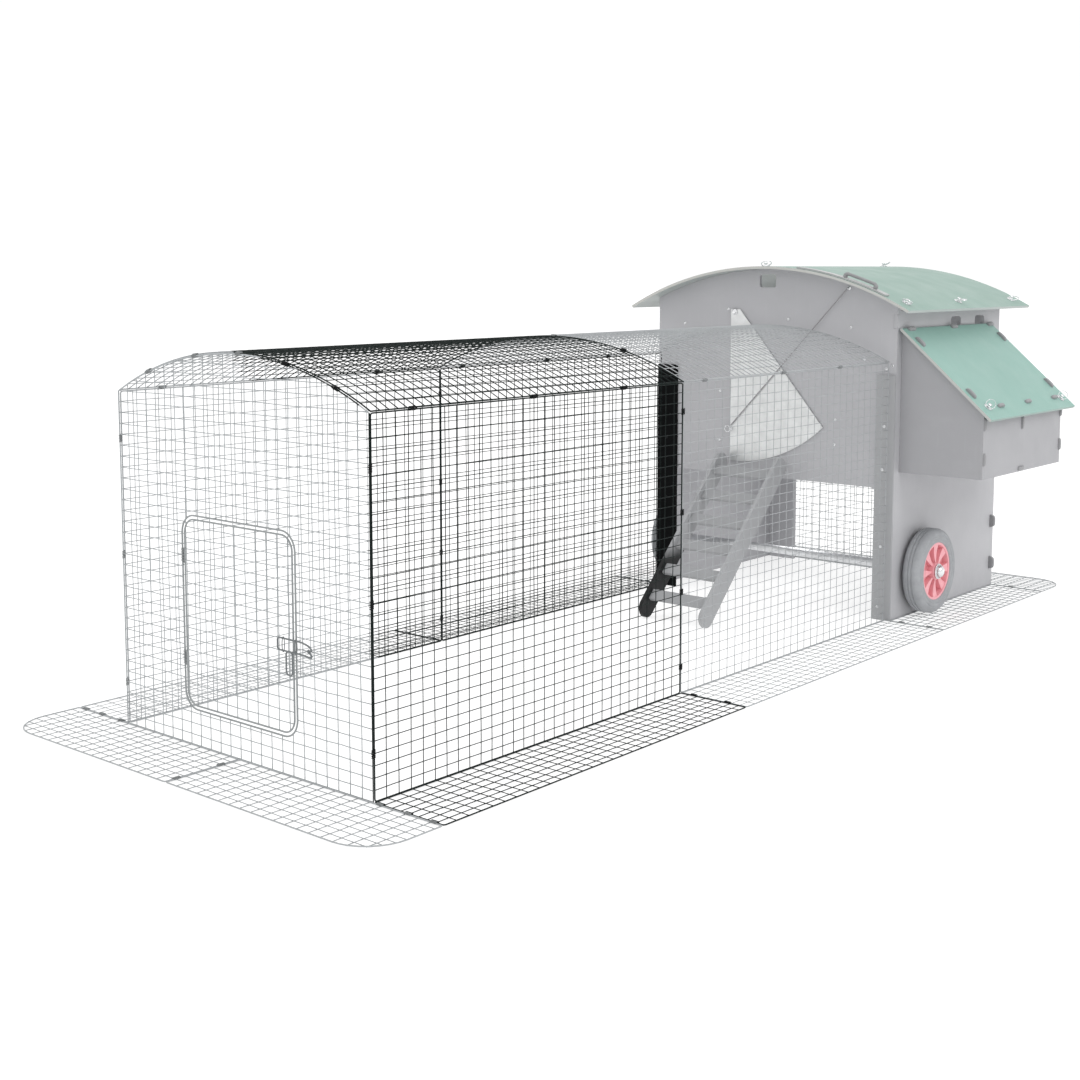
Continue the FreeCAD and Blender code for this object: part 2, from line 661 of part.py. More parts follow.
# posts in front of the front panel, and the floor
put(prim("Box", "left_post", None, Length=78, Width=5.4, Height=742), "left_corner_post", -HX, hf.n - 6.0, 0)
put(prim("Box", "right_post", None, Length=post, Width=5.4, Height=742), "right_corner_post", HX - post.n, hf.n - 6.0, 0)
put(prim("Box", "floor_b", None, Length=hw - pt * 2 - 1, Width=hd - pt * 2 - 30, Height=10), "house_floor", -HX + pt.n + 0.5, hf.n + pt.n + 0.8, floor_z.n)
bearers = []
for i, yy in enumerate((60.0, hd.n - 110.0)):
    bearers.append(prim("Box", "bearer_%d" % i, at(-HX + pt.n + 0.5, hf.n + yy, floor_z.n - 30.3), Length=hw - pt * 2 - 1, Width=20, Height=30))
put(group("g_bearers", bearers), "floor_bearers")
perches = []
for i, yy in enumerate((380.0, 560.0)):
    perches.append(prim("Cylinder", "perch_%d" % i, at(-HX + pt.n + 0.5, hf.n + yy, floor_z.n + 90, Rotation(V(0, 1, 0), 90)), Radius=16, Height=hw - pt * 2 - 1))
put(group("g_perches", perches), "perch_bars")

# mesh across the opening under the back panel
ubw = hw.n - 2 * pt.n - 1 - 2 * 104 + 20
mesh_panel("underpass_back_mesh", rect_pts(0, 0, ubw, under.n + 8), steps(0, ubw, 19), steps(0, under.n + 8, 16), -ubw / 2, hb - 0.6, 4.4, ROT_FRONT)

# ---------------------------------------------------------------- house roof
body = new_body("b_roof")
sk = new_sketch(body, "s_roof")
C = Sketcher.Constraint
ra = math.asin(roof_w.n / 2 / roof_r.n)
ro, ri = roof_r.n, roof_r.n - roof_t.n
pts4 = [V(ro * math.sin(a) , ro * math.cos(a), 0) for a in (-ra, ra)] + [V(ri * math.sin(a), ri * math.cos(a), 0) for a in (ra, -ra)]
sk.addGeometry(Part.ArcOfCircle(Part.Circle(V(0, 0, 0), V(0, 0, 1), ro), math.pi / 2 - ra, math.pi / 2 + ra), False)
sk.addGeometry(Part.LineSegment(pts4[1], pts4[2]), False)
sk.addGeometry(Part.ArcOfCircle(Part.Circle(V(0, 0, 0), V(0, 0, 1), ri), math.pi / 2 - ra, math.pi / 2 + ra), False)
sk.addGeometry(Part.LineSegment(pts4[0], pts4[3]), False)
C = Sketcher.Constraint
sk.addConstraint(C("Coincident", 0, 3, -1, 1))
sk.addConstraint(C("Coincident", 2, 3, -1, 1))
sk.addConstraint(C("Coincident", 0, 1, 1, 1))
sk.addConstraint(C("Coincident", 2, 1, 1, 2))
sk.addConstraint(C("Coincident", 0, 2, 3, 1))
sk.addConstraint(C("Coincident", 2, 2, 3, 2))
i0 = sk.addConstraint(C("Radius", 0, ro))
sk.setExpression("Constraints[%d]" % i0, roof_r.s)
i1 = sk.addConstraint(C("Radius", 2, ri))
sk.setExpression("Constraints[%d]" % i1, (roof_r - roof_t).s)
i2 = sk.addConstraint(C("DistanceX", 0, 2, 0, 1, roof_w.n))
sk.setExpression("Constraints[%d]" % i2, roof_w.s)
sk.addConstraint(C("Symmetric", 0, 1, 0, 2, -2))
sk.addConstraint(C("Symmetric", 2, 1, 2, 2, -2))
pad(body, sk, roof_l, "p_roof")
roof_y0 = hf.n - roof_f.n
put(body, "house_roof", 0, roof_y0 + roof_l.n, roof_c.n, ROT_FRONT)


def on_roof(x, y, lift=0.0):
    """A placement on the roof's outer face at width x and depth y, local +Z outwards."""
    a = math.asin(x / roof_r.n)
    return Placement(V((ro + lift) * math.sin(a), y, roof_c.n + (ro + lift) * math.cos(a)), Rotation(V(0, 1, 0), math.degrees(a)))


def knob_shapes(tag, pl, turn=0.0):
    """A turn knob: washer, stem and a wing."""
    a = prim("Cylinder", tag + "_w", Radius=11, Height=2.5)
    b = prim("Cylinder", tag + "_s", Radius=6, Height=12)
    c = prim("Box", tag + "_g", at(-17, -2.6, 5.0), Length=34, Width=5.2, Height=17)
    f = fuse(tag + "_f", [a, b, c])
    f.Placement = pl.multiply(Placement(V(0, 0, 0), Rotation(V(0, 0, 1), turn)))
    return f


# knobs along the crest and the eaves
knobs = []
kp = [(-14, roof_y0 + 46, 30), (-14, roof_y0 + roof_l.n - 40, 70),
      (462, roof_y0 + 60, 10), (462, roof_y0 + 400, 60), (462, roof_y0 + roof_l.n - 60, 100),
      (-462, roof_y0 + 60, 20), (-462, roof_y0 + 400, 80), (-462, roof_y0 + roof_l.n - 60, 130)]
for i, (x, y, t_) in enumerate(kp):
    knobs.append(knob_shapes("rk%d" % i, on_roof(x, y, 0.1), t_))
put(group("g_rk", knobs), "roof_turn_knobs")

# front edge strip with its lifting loop
strip_a0, strip_a1 = math.asin(120.0 / ro), math.asin(420.0 / ro)


def arc_strip(r0, r1, a0, a1, length):
    f = lambda r, a: V(r * math.sin(a), 0, r * math.cos(a))
    am = (a0 + a1) / 2
    e = [Part.Arc(f(r1, a0), f(r1, am), f(r1, a1)).toShape(), Part.makeLine(f(r1, a1), f(r0, a1)),
         Part.Arc(f(r0, a1), f(r0, am), f(r0, a0)).toShape(), Part.makeLine(f(r0, a0), f(r1, a0))]
    return Part.Face(Part.Wire(e)).extrude(V(0, length, 0))


put(feature("f_strip", arc_strip(ro + 0.4, ro + 5.4, strip_a0, strip_a1, 26.0)), "roof_edge_strip", 0, roof_y0 + 6.0, roof_c.n)
hpl = on_roof(330.0, roof_y0 + 19.0, 5.6)
hs_o = prim("Box", "rh_o", at(-60, -7, 0), Length=120, Width=14, Height=27)
hs_i = prim("Box", "rh_i", at(-48, -8, -1), Length=96, Width=16, Height=19)
hh = cut("rh_c", hs_o, [hs_i])
hh.Placement = hpl
put(group("g_rh", [hh]), "roof_lift_handle")

# ---------------------------------------------------------------- nest box
NY = hf.n + nb_y.n
NX = HX + 0.4
la = math.radians(lid_ang.n)
front_top = nb_z.n + nb_h.n
# sloping side panels: a four-cornered plate that follows the lid
slope = math.tan(la)


def nest_side(tag):
    body = new_body("b_" + tag)
    sk = new_sketch(body, "s_" + tag)
    top_in = lid_top.n - 2.2
    top_out = top_in - slope * (nb_o.n - nb_t.n - 0.5)
    p = [V(0, 0, 0), V(nb_o.n - nb_t.n - 0.5, 0, 0), V(nb_o.n - nb_t.n - 0.5, top_out - nb_z.n, 0), V(0, top_in - nb_z.n, 0)]
    for i in range(4):
        sk.addGeometry(Part.LineSegment(p[i], p[(i + 1) % 4]), False)
    for i in range(4):
        sk.addConstraint(C("Coincident", i, 2, (i + 1) % 4, 1))
    sk.addConstraint(C("Coincident", 0, 1, -1, 1))
    sk.addConstraint(C("Horizontal", 0))
    sk.addConstraint(C("Vertical", 1))
    sk.addConstraint(C("Vertical", 3))
    _dim(sk, "DistanceX", 0, 1, 0, 2, nb_o - nb_t - 0.5, "w")
    _dim(sk, "DistanceY", 1, 1, 1, 2, Q(top_out - nb_z.n), "a")
    _dim(sk, "DistanceY", 3, 2, 3, 1, lid_top - 2.2 - nb_z, "b")
    pad(body, sk, nb_t, "p_" + tag)
    return body


put(nest_side("nest_near"), "nest_box_near_side", NX, NY + nb_t.n, nb_z.n, ROT_FRONT)
put(nest_side("nest_far"), "nest_box_far_side", NX, NY + nb_l.n, nb_z.n, ROT_FRONT)
put(prim("Box", "nest_front", None, Length=nb_t, Width=nb_l, Height=nb_h), "nest_box_front_panel", HX + nb_o.n - nb_t.n, NY, nb_z.n)
put(prim("Box", "nest_floor", None, Length=nb_o - nb_t - 1, Width=nb_l - nb_t * 2 - 1, Height=nb_t), "nest_box_floor", NX, NY + nb_t.n + 0.5, nb_z.n)

# lid: hinged on the wall, sloping down over the front panel; local x runs down the slope
lid_rot = Rotation(V(0, 1, 0), lid_ang.n)
LX, LZ = HX + 2.0, lid_top.n - 3.0
lid_y0 = hf.n + 8.0
lid_plate = prim("Box", "lid_plate", at(lid_t.n / 2, 0, 0), Length=lid_len - lid_t / 2, Width=lid_l, Height=lid_t)
lid_bead = prim("Cylinder", "lid_bead", at(lid_t.n / 2, 0, lid_t.n / 2, Rotation(V(1, 0, 0), -90)), Radius=lid_t / 2, Height=lid_l)
put(fuse("lid", [lid_plate, lid_bead]), "nest_lid", LX + 1.0, lid_y0, LZ, lid_rot)   # it turns on its rounded upper edge


def on_lid(u, v, lift):
    """A placement on the lid's top face, u down the slope, v along it."""
    return Placement(V(LX + 1.0, lid_y0, LZ), lid_rot).multiply(Placement(V(u, v, lid_t.n + lift), Rotation()))


for nm_, u, v, t_ in (("near", 338, 52, 20), ("far", 346, 566, 60)):
    pl_ = on_lid(u, v, 0.4)
    print("knob", nm_, pl_.Base.x + OX, pl_.Base.y + OY, pl_.Base.z)
    kb_ = knob_shapes("lk_" + nm_, on_lid(u, v, 0.4), t_)
    put(group("g_lk_" + nm_, [kb_]), "nest_lid_%s_knob" % nm_)
lt = []
for i, (u, v, du, dv, hh_) in enumerate(((2, 32, 16, 38, 9), (2, 313, 16, 38, 9), (2, 574, 16, 38, 9),
                                         (44, 21, 38, 12, 9), (262, 21, 38, 12, 9), (48, 579, 38, 12, 9), (262, 579, 38, 12, 9),
                                         (336, 114, 13, 36, 9), (336, 307, 13, 36, 9), (336, 506, 13, 36, 9))):
    b = prim("Box", "lt%d" % i, Length=du, Width=dv, Height=hh_)
    b.Placement = on_lid(u, v, 0.1)
    lt.append(b)
put(group("g_lt", lt), "nest_lid_tabs")
fp = []
for i, (v, zz, dy, dz) in enumerate(((0.5, 40, 11, 36), (0.5, 142, 11, 36), (nb_l.n - 11.5, 40, 11, 36), (nb_l.n - 11.5, 146, 11, 36), (263, 128, 11, 38), (247, 4, 38, 11))):
    fp.append(prim("Box", "fp%d" % i, at(HX + nb_o.n + 0.2, NY + v, nb_z.n + zz), Length=6, Width=dy, Height=dz))
put(group("g_pegs", tabs + fp), "panel_pegs")

# ---------------------------------------------------------------- wheels
WY = hf.n + wh_y.n
ROT_X = Rotation(V(0, 1, 0), 90)
w_in = 8.0                                        # gap between the wall and the tyre
ax_half = HX + w_in + wh_w.n + 12.4
put(prim("Cylinder", "axle", None, Radius=ax_d / 2, Height=2 * ax_half), "wheel_axle", -ax_half, WY, wh_z.n, ROT_X)
nuts = []
for side, sx in (("left", -1), ("right", 1)):
    # tyre: a turned ring with a rounded tread
    body = new_body("b_tyre_" + side)
    sk = new_sketch(body, "s_tyre_" + side, "XZ_Plane")
    r0, r1, w2 = hub_d.n / 2 + 0.0, wh_d.n / 2, wh_w.n
    prof = [V(r0, 4, 0), V(r0 + 8, 0, 0), V(r1 - 12, 0, 0), V(r1, 12, 0), V(r1, w2 - 12, 0), V(r1 - 12, w2, 0), V(r0 + 8, w2, 0), V(r0, w2 - 4, 0)]
    for i in range(8):
        sk.addGeometry(Part.LineSegment(prof[i], prof[(i + 1) % 8]), False)
    for i in range(8):
        sk.addConstraint(C("Coincident", i, 2, (i + 1) % 8, 1))
    sk.addConstraint(C("Vertical", 3))
    sk.addConstraint(C("Vertical", 7))
    sk.addConstraint(C("Horizontal", 1))
    sk.addConstraint(C("Horizontal", 5))
    _dim(sk, "DistanceX", -1, 1, 3, 1, wh_d / 2, "r1")
    _dim(sk, "DistanceX", -1, 1, 7, 1, hub_d / 2, "r0")
    rv = body.newObject("PartDesign::Revolution", "v_tyre_" + side)
    rv.Profile = sk
    rv.ReferenceAxis = (sk, ["V_Axis"])
    rv.Angle = 360
    body.Tip = rv
    xs = HX + w_in if sx > 0 else -HX - w_in - wh_w.n
    put(body, "%s_tyre" % side, xs, WY, wh_z.n, ROT_X)
    # hub: bore for the axle, rim and eight fins
    rim_o = prim("Cylinder", "rim_o_" + side, at(0, 0, 4), Radius=hub_d / 2 - 0.1, Height=wh_w - 8)
    rim_i = prim("Cylinder", "rim_i_" + side, at(0, 0, 0), Radius=hub_d / 2 - 8, Height=wh_w)
    rim = cut("rim_" + side, rim_o, [rim_i])
    web = prim("Cylinder", "web_" + side, at(0, 0, wh_w.n / 2 - 4), Radius=hub_d / 2 - 7, Height=8)
    boss = prim("Cylinder", "boss_" + side, at(0, 0, 1), Radius=26, Height=wh_w - 2)
    fins = []
    for i in range(8):
        f_ = prim("Box", "fin_%s_%d" % (side, i), Length=hub_d / 2 - 30, Width=5, Height=wh_w - 14)
        f_.Placement = Placement(V(0, 0, 0), Rotation(V(0, 0, 1), 45.0 * i)).multiply(Placement(V(24, -2.5, 7), Rotation()))
        fins.append(f_)
    hub = fuse("hubf_" + side, [rim, web, boss] + fins)
    bore = prim("Cylinder", "bore_" + side, at(0, 0, -5), Radius=ax_d / 2 + 0.08, Height=wh_w + 20)
    put(cut("hub_" + side, hub, [bore]), "%s_wheel_hub" % side, xs, WY, wh_z.n, ROT_X)
    # retaining nut on the axle's end, clear of the hub
    nut_o = prim("Cylinder", "nut_o_" + side, at(0, 0, 0), Radius=24, Height=11)
    nut_c = prim("Cone", "nut_c_" + side, at(0, 0, 11), Radius1=22, Radius2=14, Height=7)
    nutf = fuse("nutf_" + side, [nut_o, nut_c])
    nut_i = prim("Cylinder", "nut_i_" + side, at(0, 0, -1), Radius=ax_d / 2 + 0.02, Height=13)
    nrot = ROT_X if sx > 0 else Rotation(V(0, 1, 0), -90)
    nx = sx * (HX + w_in + wh_w.n + 0.8)
    nutc = cut("nut_" + side, nutf, [nut_i])
    nutc.Placement = at(nx, WY, wh_z.n, nrot)
    nuts.append(nutc)
put(group("g_nuts", nuts), "wheel_nuts")
# ---------------------------------------------------------------- ramp
rp_c = -46.0                                      # middle of the ramp
ra_ = math.radians(rp_a.n)
top_y, top_z = hf.n - 46.0, 482.0                 # where the ramp hooks over the sill
# local x runs down the ramp from its top, local z out of its face
rp_rot = Rotation(V(0, -math.cos(ra_), -math.sin(ra_)), V(1, 0, 0), V(0, -math.sin(ra_), math.cos(ra_)), "XYZ")


def on_ramp(u, v, w_):
    return Placement(V(rp_c, top_y, top_z), rp_rot).multiply(Placement(V(u, v, w_), Rotation()))


for side, v0 in (("left", -rp_w.n / 2), ("right", rp_w.n / 2 - rp_t.n)):
    body = new_body("b_str_" + side)
    sk = new_sketch(body, "s_str_" + side)
    sk_round_rect(sk, 0, 0, rp_l, rp_b, 30)
    pad(body, sk, rp_t, "p_str_" + side)
    pl = Placement(V(rp_c, top_y, top_z), rp_rot).multiply(Placement(V(0, v0, 0), Rotation(V(1, 0, 0), 90)))
    # the board stands on edge: its width is square to the ramp's face
    pl = Placement(V(rp_c, top_y, top_z), rp_rot).multiply(Placement(V(0, v0 + rp_t.n, -rp_b.n), Rotation(V(1, 0, 0), 90)))
    put(body, "ramp_%s_board" % side, pl.Base.x, pl.Base.y, pl.Base.z, pl.Rotation)
rungs = []
for i in range(6):
    u = 70.0 + i * (rp_l.n - 140.0) / 5
    b = prim("Box", "rung_%d" % i, Length=34, Width=rp_w - rp_t * 2 - 1, Height=12)
    b.Placement = on_ramp(u - 17, -rp_w.n / 2 + rp_t.n + 0.5, -26.0)
    rungs.append(b)
put(group("g_rungs", rungs), "ramp_rungs")
# ---------------------------------------------------------------- swinging shutter
pie_a = math.radians(sh_a.n)
body = new_body("b_shutter")
sk = new_sketch(body, "s_shutter")
R_ = sh_r.n
sk.addGeometry(Part.LineSegment(V(-14, 8, 0), V(-14, -R_ + 8, 0)), False)
qa, qb = math.radians(270) - math.asin(14 / R_), math.radians(270) + pie_a
sk.addGeometry(Part.ArcOfCircle(Part.Circle(V(0, 0, 0), V(0, 0, 1), R_), qa, qb), False)
sk.addGeometry(Part.LineSegment(V(R_ * math.cos(qb), R_ * math.sin(qb), 0), V(20, 8, 0)), False)
sk.addGeometry(Part.LineSegment(V(20, 8, 0), V(-14, 8, 0)), False)
sk.addConstraint(C("Coincident", 1, 3, -1, 1))
sk.addConstraint(C("Coincident", 0, 2, 1, 1))
sk.addConstraint(C("Coincident", 1, 2, 2, 1))
sk.addConstraint(C("Coincident", 2, 2, 3, 1))
sk.addConstraint(C("Coincident", 3, 2, 0, 1))
sk.addConstraint(C("Vertical", 0))
sk.addConstraint(C("Horizontal", 3))
i3 = sk.addConstraint(C("Radius", 1, R_))
sk.setExpression("Constraints[%d]" % i3, sh_r.s)
pad(body, sk, sh_t, "p_shutter")
sk = new_sketch(body, "s_shutter_h")
sk.addGeometry(Part.Circle(V(0, 0, 0), V(0, 0, 1), 4.05), False)
sk.addConstraint(C("Coincident", 0, 3, -1, 1))
sk.addConstraint(C("Radius", 0, 4.05))
pocket(body, sk, "k_shutter")
put(body, "pop_door", sh_x.n, hf.n - 3.0, sh_z.n, ROT_FRONT)
ROT_Y = Rotation(V(1, 0, 0), 90)                  # local z -> -Y
pv1 = prim("Cylinder", "pv_stem", at(0, 0, 0), Radius=4.0, Height=6)
pv2 = prim("Cylinder", "pv_head", at(0, 0, 6), Radius=10, Height=3)
put(fuse("pv_f", [pv1, pv2]), "pop_door_pivot_bolt", sh_x.n, hf.n - 0.2, sh_z.n, ROT_Y)
# stud on the shutter's free edge with the ring that the pull cord is tied to
EX, EZ = -152.0, 545.0
e1 = prim("Cylinder", "ek_stud", at(10, 0, 0), Radius=4.0, Height=9.5)
e2 = prim("Torus", "ek_ring", at(0, 0, 7.6), Radius1=10.0, Radius2=1.5)
put(fuse("ek_f", [e1, e2]), "pop_door_cord_ring", EX, hf.n - 5.2, EZ, ROT_Y)
# the pull cord runs straight up in front of the panel to an eyelet under the roof's edge
p_a = V(EX + 9.0, hf.n - 8.5, EZ + 11.0)
p_b = V(272.0, hf.n - 8.5, 1000.0)
dirn = p_b.sub(p_a)
cl = dirn.Length
dirn.normalize()
crot = Rotation(V(0, 0, 1), dirn)
cord = prim("Cylinder", "cord", None, Radius=1.5, Height=cl)
put(cord, "pop_door_pull_cord", p_a.x, p_a.y, p_a.z, crot)
tube_o = prim("Cylinder", "eye_o", at(0, 0, 0), Radius=4.5, Height=8.0)
foot = prim("Cylinder", "eye_foot", None, Radius=6.5, Height=5.2)
foot.Placement = Placement(V(0, 0, 0), crot.inverted()).multiply(Placement(V(dirn.x * 4, 8.3, dirn.z * 4), ROT_Y))
tube_i = prim("Cylinder", "eye_i", at(0, 0, -4), Radius=1.9, Height=16.0)
eyelet = cut("eye_c", fuse("eye_f", [tube_o, foot]), [tube_i])
stop_ = p_a + dirn * (cl - 5.0)
put(eyelet, "pull_cord_eyelet", stop_.x, stop_.y, stop_.z, crot)
print("cord from", p_a + V(OX, OY, 0), "to", p_b + V(OX, OY, 0), "length", cl)

# screws: pan heads on the front panel and the posts
scr = []
sp = [(-161, 928), (-190, 664), (-190, 505), (231, 597), (327, 786), (421, 770), (401, 760), (231, 520), (60, 900), (-40, 760), (280, 880), (-330, 880)]
for i, (x, z) in enumerate(sp):
    a = prim("Cylinder", "sc_%d" % i, Radius=5, Height=2.2)
    a.Placement = at(x, hf.n - 0.1, z, ROT_Y)
    scr.append(a)
for i, (x, z) in enumerate([(401, 588), (398, 458), (398, 224), (392, 40), (-395, 700), (-395, 500), (-395, 300), (-395, 100)]):
    a = prim("Cylinder", "sp_%d" % i, Radius=5, Height=2.2)
    a.Placement = at(x, hf.n - 6.1, z, ROT_Y)
    scr.append(a)
put(group("g_screws", scr), "panel_screws")

doc.recompute()

bad = []
for o in doc.Objects:
    st = [str(s_) for s_ in o.State]
    if "Invalid" in st or "Error" in st:
        bad.append((o.Name, o.Label, st))
if bad:
    raise RuntimeError("failed features: %r" % bad)
names = [n_ for n_, _ in OUT]
if len(set(names)) != len(names):
    raise RuntimeError("a name is used twice")
total = FreeCAD.BoundBox()
for name, o in OUT:
    sh = o.Shape
    if sh.isNull() or not sh.isValid() or not sh.Solids:
        raise RuntimeError("bad shape: " + name)
    total.add(sh.BoundBox)
for name, o in OUT:
    bb = o.Shape.BoundBox
    print("%-26s %2d  %8.1f %8.1f %8.1f  %8.1f %8.1f %8.1f" % (name, len(o.Shape.Solids), bb.XMin - OX, bb.YMin - OY, bb.ZMin, bb.XMax - OX, bb.YMax - OY, bb.ZMax))
    o.Shape.exportStep("parts/%s.step" % name)
print("nodes", len(OUT), "solids", sum(len(o.Shape.Solids) for _, o in OUT))
print("box", round(total.XMin, 2), round(total.YMin, 2), round(total.ZMin, 2), round(total.XMax, 2), round(total.YMax, 2), round(total.ZMax, 2))
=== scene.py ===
import bpy
import bmesh
import json
import math
import random
import numpy as np
from mathutils import Matrix, Vector

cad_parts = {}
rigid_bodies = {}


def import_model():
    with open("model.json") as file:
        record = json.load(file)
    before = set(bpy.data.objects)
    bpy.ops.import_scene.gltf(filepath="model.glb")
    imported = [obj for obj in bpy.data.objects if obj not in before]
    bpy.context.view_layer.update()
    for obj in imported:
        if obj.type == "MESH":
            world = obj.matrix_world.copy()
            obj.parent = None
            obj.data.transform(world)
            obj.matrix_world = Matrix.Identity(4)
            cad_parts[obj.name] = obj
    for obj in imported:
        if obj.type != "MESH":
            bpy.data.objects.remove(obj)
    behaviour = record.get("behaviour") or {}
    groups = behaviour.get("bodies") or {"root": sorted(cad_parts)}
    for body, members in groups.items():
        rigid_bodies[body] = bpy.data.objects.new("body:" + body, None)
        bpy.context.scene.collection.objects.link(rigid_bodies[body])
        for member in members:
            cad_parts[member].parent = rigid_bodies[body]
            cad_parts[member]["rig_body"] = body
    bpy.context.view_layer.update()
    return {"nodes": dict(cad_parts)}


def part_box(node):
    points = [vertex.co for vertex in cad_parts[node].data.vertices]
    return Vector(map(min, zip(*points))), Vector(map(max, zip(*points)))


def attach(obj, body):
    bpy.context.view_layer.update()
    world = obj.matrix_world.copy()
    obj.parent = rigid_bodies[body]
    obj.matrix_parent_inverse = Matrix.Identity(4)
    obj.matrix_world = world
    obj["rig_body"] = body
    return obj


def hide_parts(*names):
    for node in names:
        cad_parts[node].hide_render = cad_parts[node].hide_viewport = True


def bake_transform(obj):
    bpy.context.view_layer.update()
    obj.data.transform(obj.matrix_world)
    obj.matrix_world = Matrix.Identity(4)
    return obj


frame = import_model()
random.seed(7)
RNG = np.random.default_rng(7)

# design frame in millimetres: X = 0 on the run's centre line, Y = 0 on its front, Z up
OX = (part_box("house_front_panel")[0].x + 0.434) * 1000
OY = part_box("run_front_panel")[0].y * 1000
SHIFT = np.array([OX, OY, 0.0])


def D(x, y, z):
    return Vector(((x + OX) / 1000, (y + OY) / 1000, z / 1000))


# ------------------------------------------------------------------ materials
class NT:
    """A short way to write a node tree."""

    def __init__(self, name):
        self.m = bpy.data.materials.new(name)
        self.m.use_nodes = True
        self.t = self.m.node_tree
        self.b = self.t.nodes["Principled BSDF"]
        self.co = self.n("ShaderNodeTexCoord")

    def n(self, kind, **inputs):
        node = self.t.nodes.new(kind)
        for k, v in inputs.items():
            k = k.replace("_", " ")
            if k in node.inputs:
                if hasattr(v, "bl_idname") or hasattr(v, "is_linked"):
                    self.t.links.new(v, node.inputs[k])
                else:
                    node.inputs[k].default_value = v
        return node

    def link(self, a, b):
        self.t.links.new(a, b)

    def mapping(self, scale):
        m = self.n("ShaderNodeMapping")
        m.inputs["Scale"].default_value = scale
        self.link(self.co.outputs["Object"], m.inputs["Vector"])
        return m.outputs["Vector"]

    def noise(self, scale, detail=4.0, rough=0.5, stretch=None):
        v = self.mapping(stretch) if stretch else self.co.outputs["Object"]
        return self.n("ShaderNodeTexNoise", Vector=v, Scale=scale, Detail=detail, Roughness=rough).outputs["Fac"]

    def ramp(self, fac, stops):
        r = self.n("ShaderNodeValToRGB", Fac=fac)
        e = r.color_ramp.elements
        while len(e) < len(stops):
            e.new(0.5)
        for i, (p, c) in enumerate(stops):
            e[i].position = p
            e[i].color = (c, c, c, 1) if not hasattr(c, "__len__") else (*c[:3], 1)
        return r.outputs["Color"]

    def mix(self, fac, a, b, mode="MIX"):
        x = self.t.nodes.new("ShaderNodeMix")
        x.data_type = "RGBA"
        x.blend_type = mode
        for s, v in ((x.inputs[0], fac), (x.inputs[6], a), (x.inputs[7], b)):
            if hasattr(v, "is_linked"):
                self.link(v, s)
            else:
                s.default_value = v if not hasattr(v, "__len__") or len(v) == 4 else (*v, 1)
        return x.outputs[2]

    def math(self, op, a, b=0.0):
        x = self.t.nodes.new("ShaderNodeMath")
        x.operation = op
        for s, v in ((x.inputs[0], a), (x.inputs[1], b)):
            if hasattr(v, "is_linked"):
                self.link(v, s)
            else:
                s.default_value = v
        return x.outputs[0]

    def bump(self, height, strength, distance=0.001, normal=None):
        b = self.n("ShaderNodeBump", Strength=strength, Distance=distance, Height=height)
        if normal is not None:
            self.link(normal, b.inputs["Normal"])
        return b.outputs["Normal"]

    def normal_axis(self):
        s = self.n("ShaderNodeSeparateXYZ", Vector=self.co.outputs["Normal"])
        return s.outputs

    def position(self):
        s = self.n("ShaderNodeSeparateXYZ", Vector=self.co.outputs["Object"])
        return s.outputs


def lin(*srgb):
    return tuple(((c / 255) / 12.92 if c / 255 <= 0.04045 else ((c / 255 + 0.055) / 1.055) ** 2.4) for c in srgb)


def scaled(c, k):
    return tuple(min(1.0, x * k) for x in c)


def plastic(name, colour, rough=0.5, mottle=0.05, grain=0.12, scuffs=0.25, edge=None, under=None, spec=0.35, dirt=0.0):
    """Recycled sheet plastic: faint clouds and specks, long shallow scuffs, an orange-peel skin; with edge, a painted
    highlight on the end faces, and with under, a painted underside colour.
    """
    g = NT(name)
    cloud = g.ramp(g.noise(5.0, 6.0, 0.6), [(0.3, 1 - mottle), (0.7, 1 + mottle * 0.6)])
    base = g.mix(1.0, (*colour, 1), cloud, "MULTIPLY")
    speck = g.ramp(g.noise(420.0, 2.0, 0.5), [(0.66, 0.0), (0.74, 1.0)])
    base = g.mix(g.math("MULTIPLY", speck, 0.16), base, (*scaled(colour, 1.35), 1))
    scratch = g.ramp(g.noise(2.2, 5.0, 0.62, (1.0, 46.0, 3.0)), [(0.60, 0.0), (0.66, 1.0), (0.70, 0.0)])
    scratch2 = g.ramp(g.noise(1.9, 4.0, 0.6, (38.0, 2.0, 2.4)), [(0.62, 0.0), (0.67, 1.0), (0.71, 0.0)])
    both = g.math("MAXIMUM", scratch, scratch2)
    base = g.mix(g.math("MULTIPLY", both, scuffs * 0.5), base, (*scaled(colour, 1.22), 1))
    # painted highlight: faces turned along Y, the end faces of the sheet, take the lighter edge colour
    if edge is not None:
        ny = g.math("ABSOLUTE", g.normal_axis()[1])
        base = g.mix(g.math("GREATER_THAN", ny, 0.75), base, (*edge, 1))
    # painted light: faces turned downward take the under colour, lighter than the top on the roof sheet
    if under is not None:
        base = g.mix(g.math("LESS_THAN", g.normal_axis()[2], -0.35), base, (*under, 1))
    if dirt > 0:
        low = g.ramp(g.position()[2], [(0.0, 1.0), (0.16, 0.0)])
        splash = g.math("MULTIPLY", low, g.ramp(g.noise(28.0, 6.0, 0.7), [(0.35, 0.0), (0.65, 1.0)]))
        base = g.mix(g.math("MULTIPLY", splash, dirt), base, (*scaled(colour, 0.72), 1))
    g.link(base, g.b.inputs["Base Color"])
    r = g.ramp(g.noise(11.0, 5.0), [(0.3, rough - 0.07), (0.7, rough + 0.1)])
    g.link(r, g.b.inputs["Roughness"])
    g.b.inputs["Specular IOR Level"].default_value = spec
    n1 = g.bump(g.noise(650.0, 3.0), grain, 0.0004)
    n2 = g.bump(g.noise(9.0, 3.0), 0.10, 0.003, n1)
    n3 = g.bump(both, 0.12, 0.0003, n2)
    g.link(n3, g.b.inputs["Normal"])
    return g.m


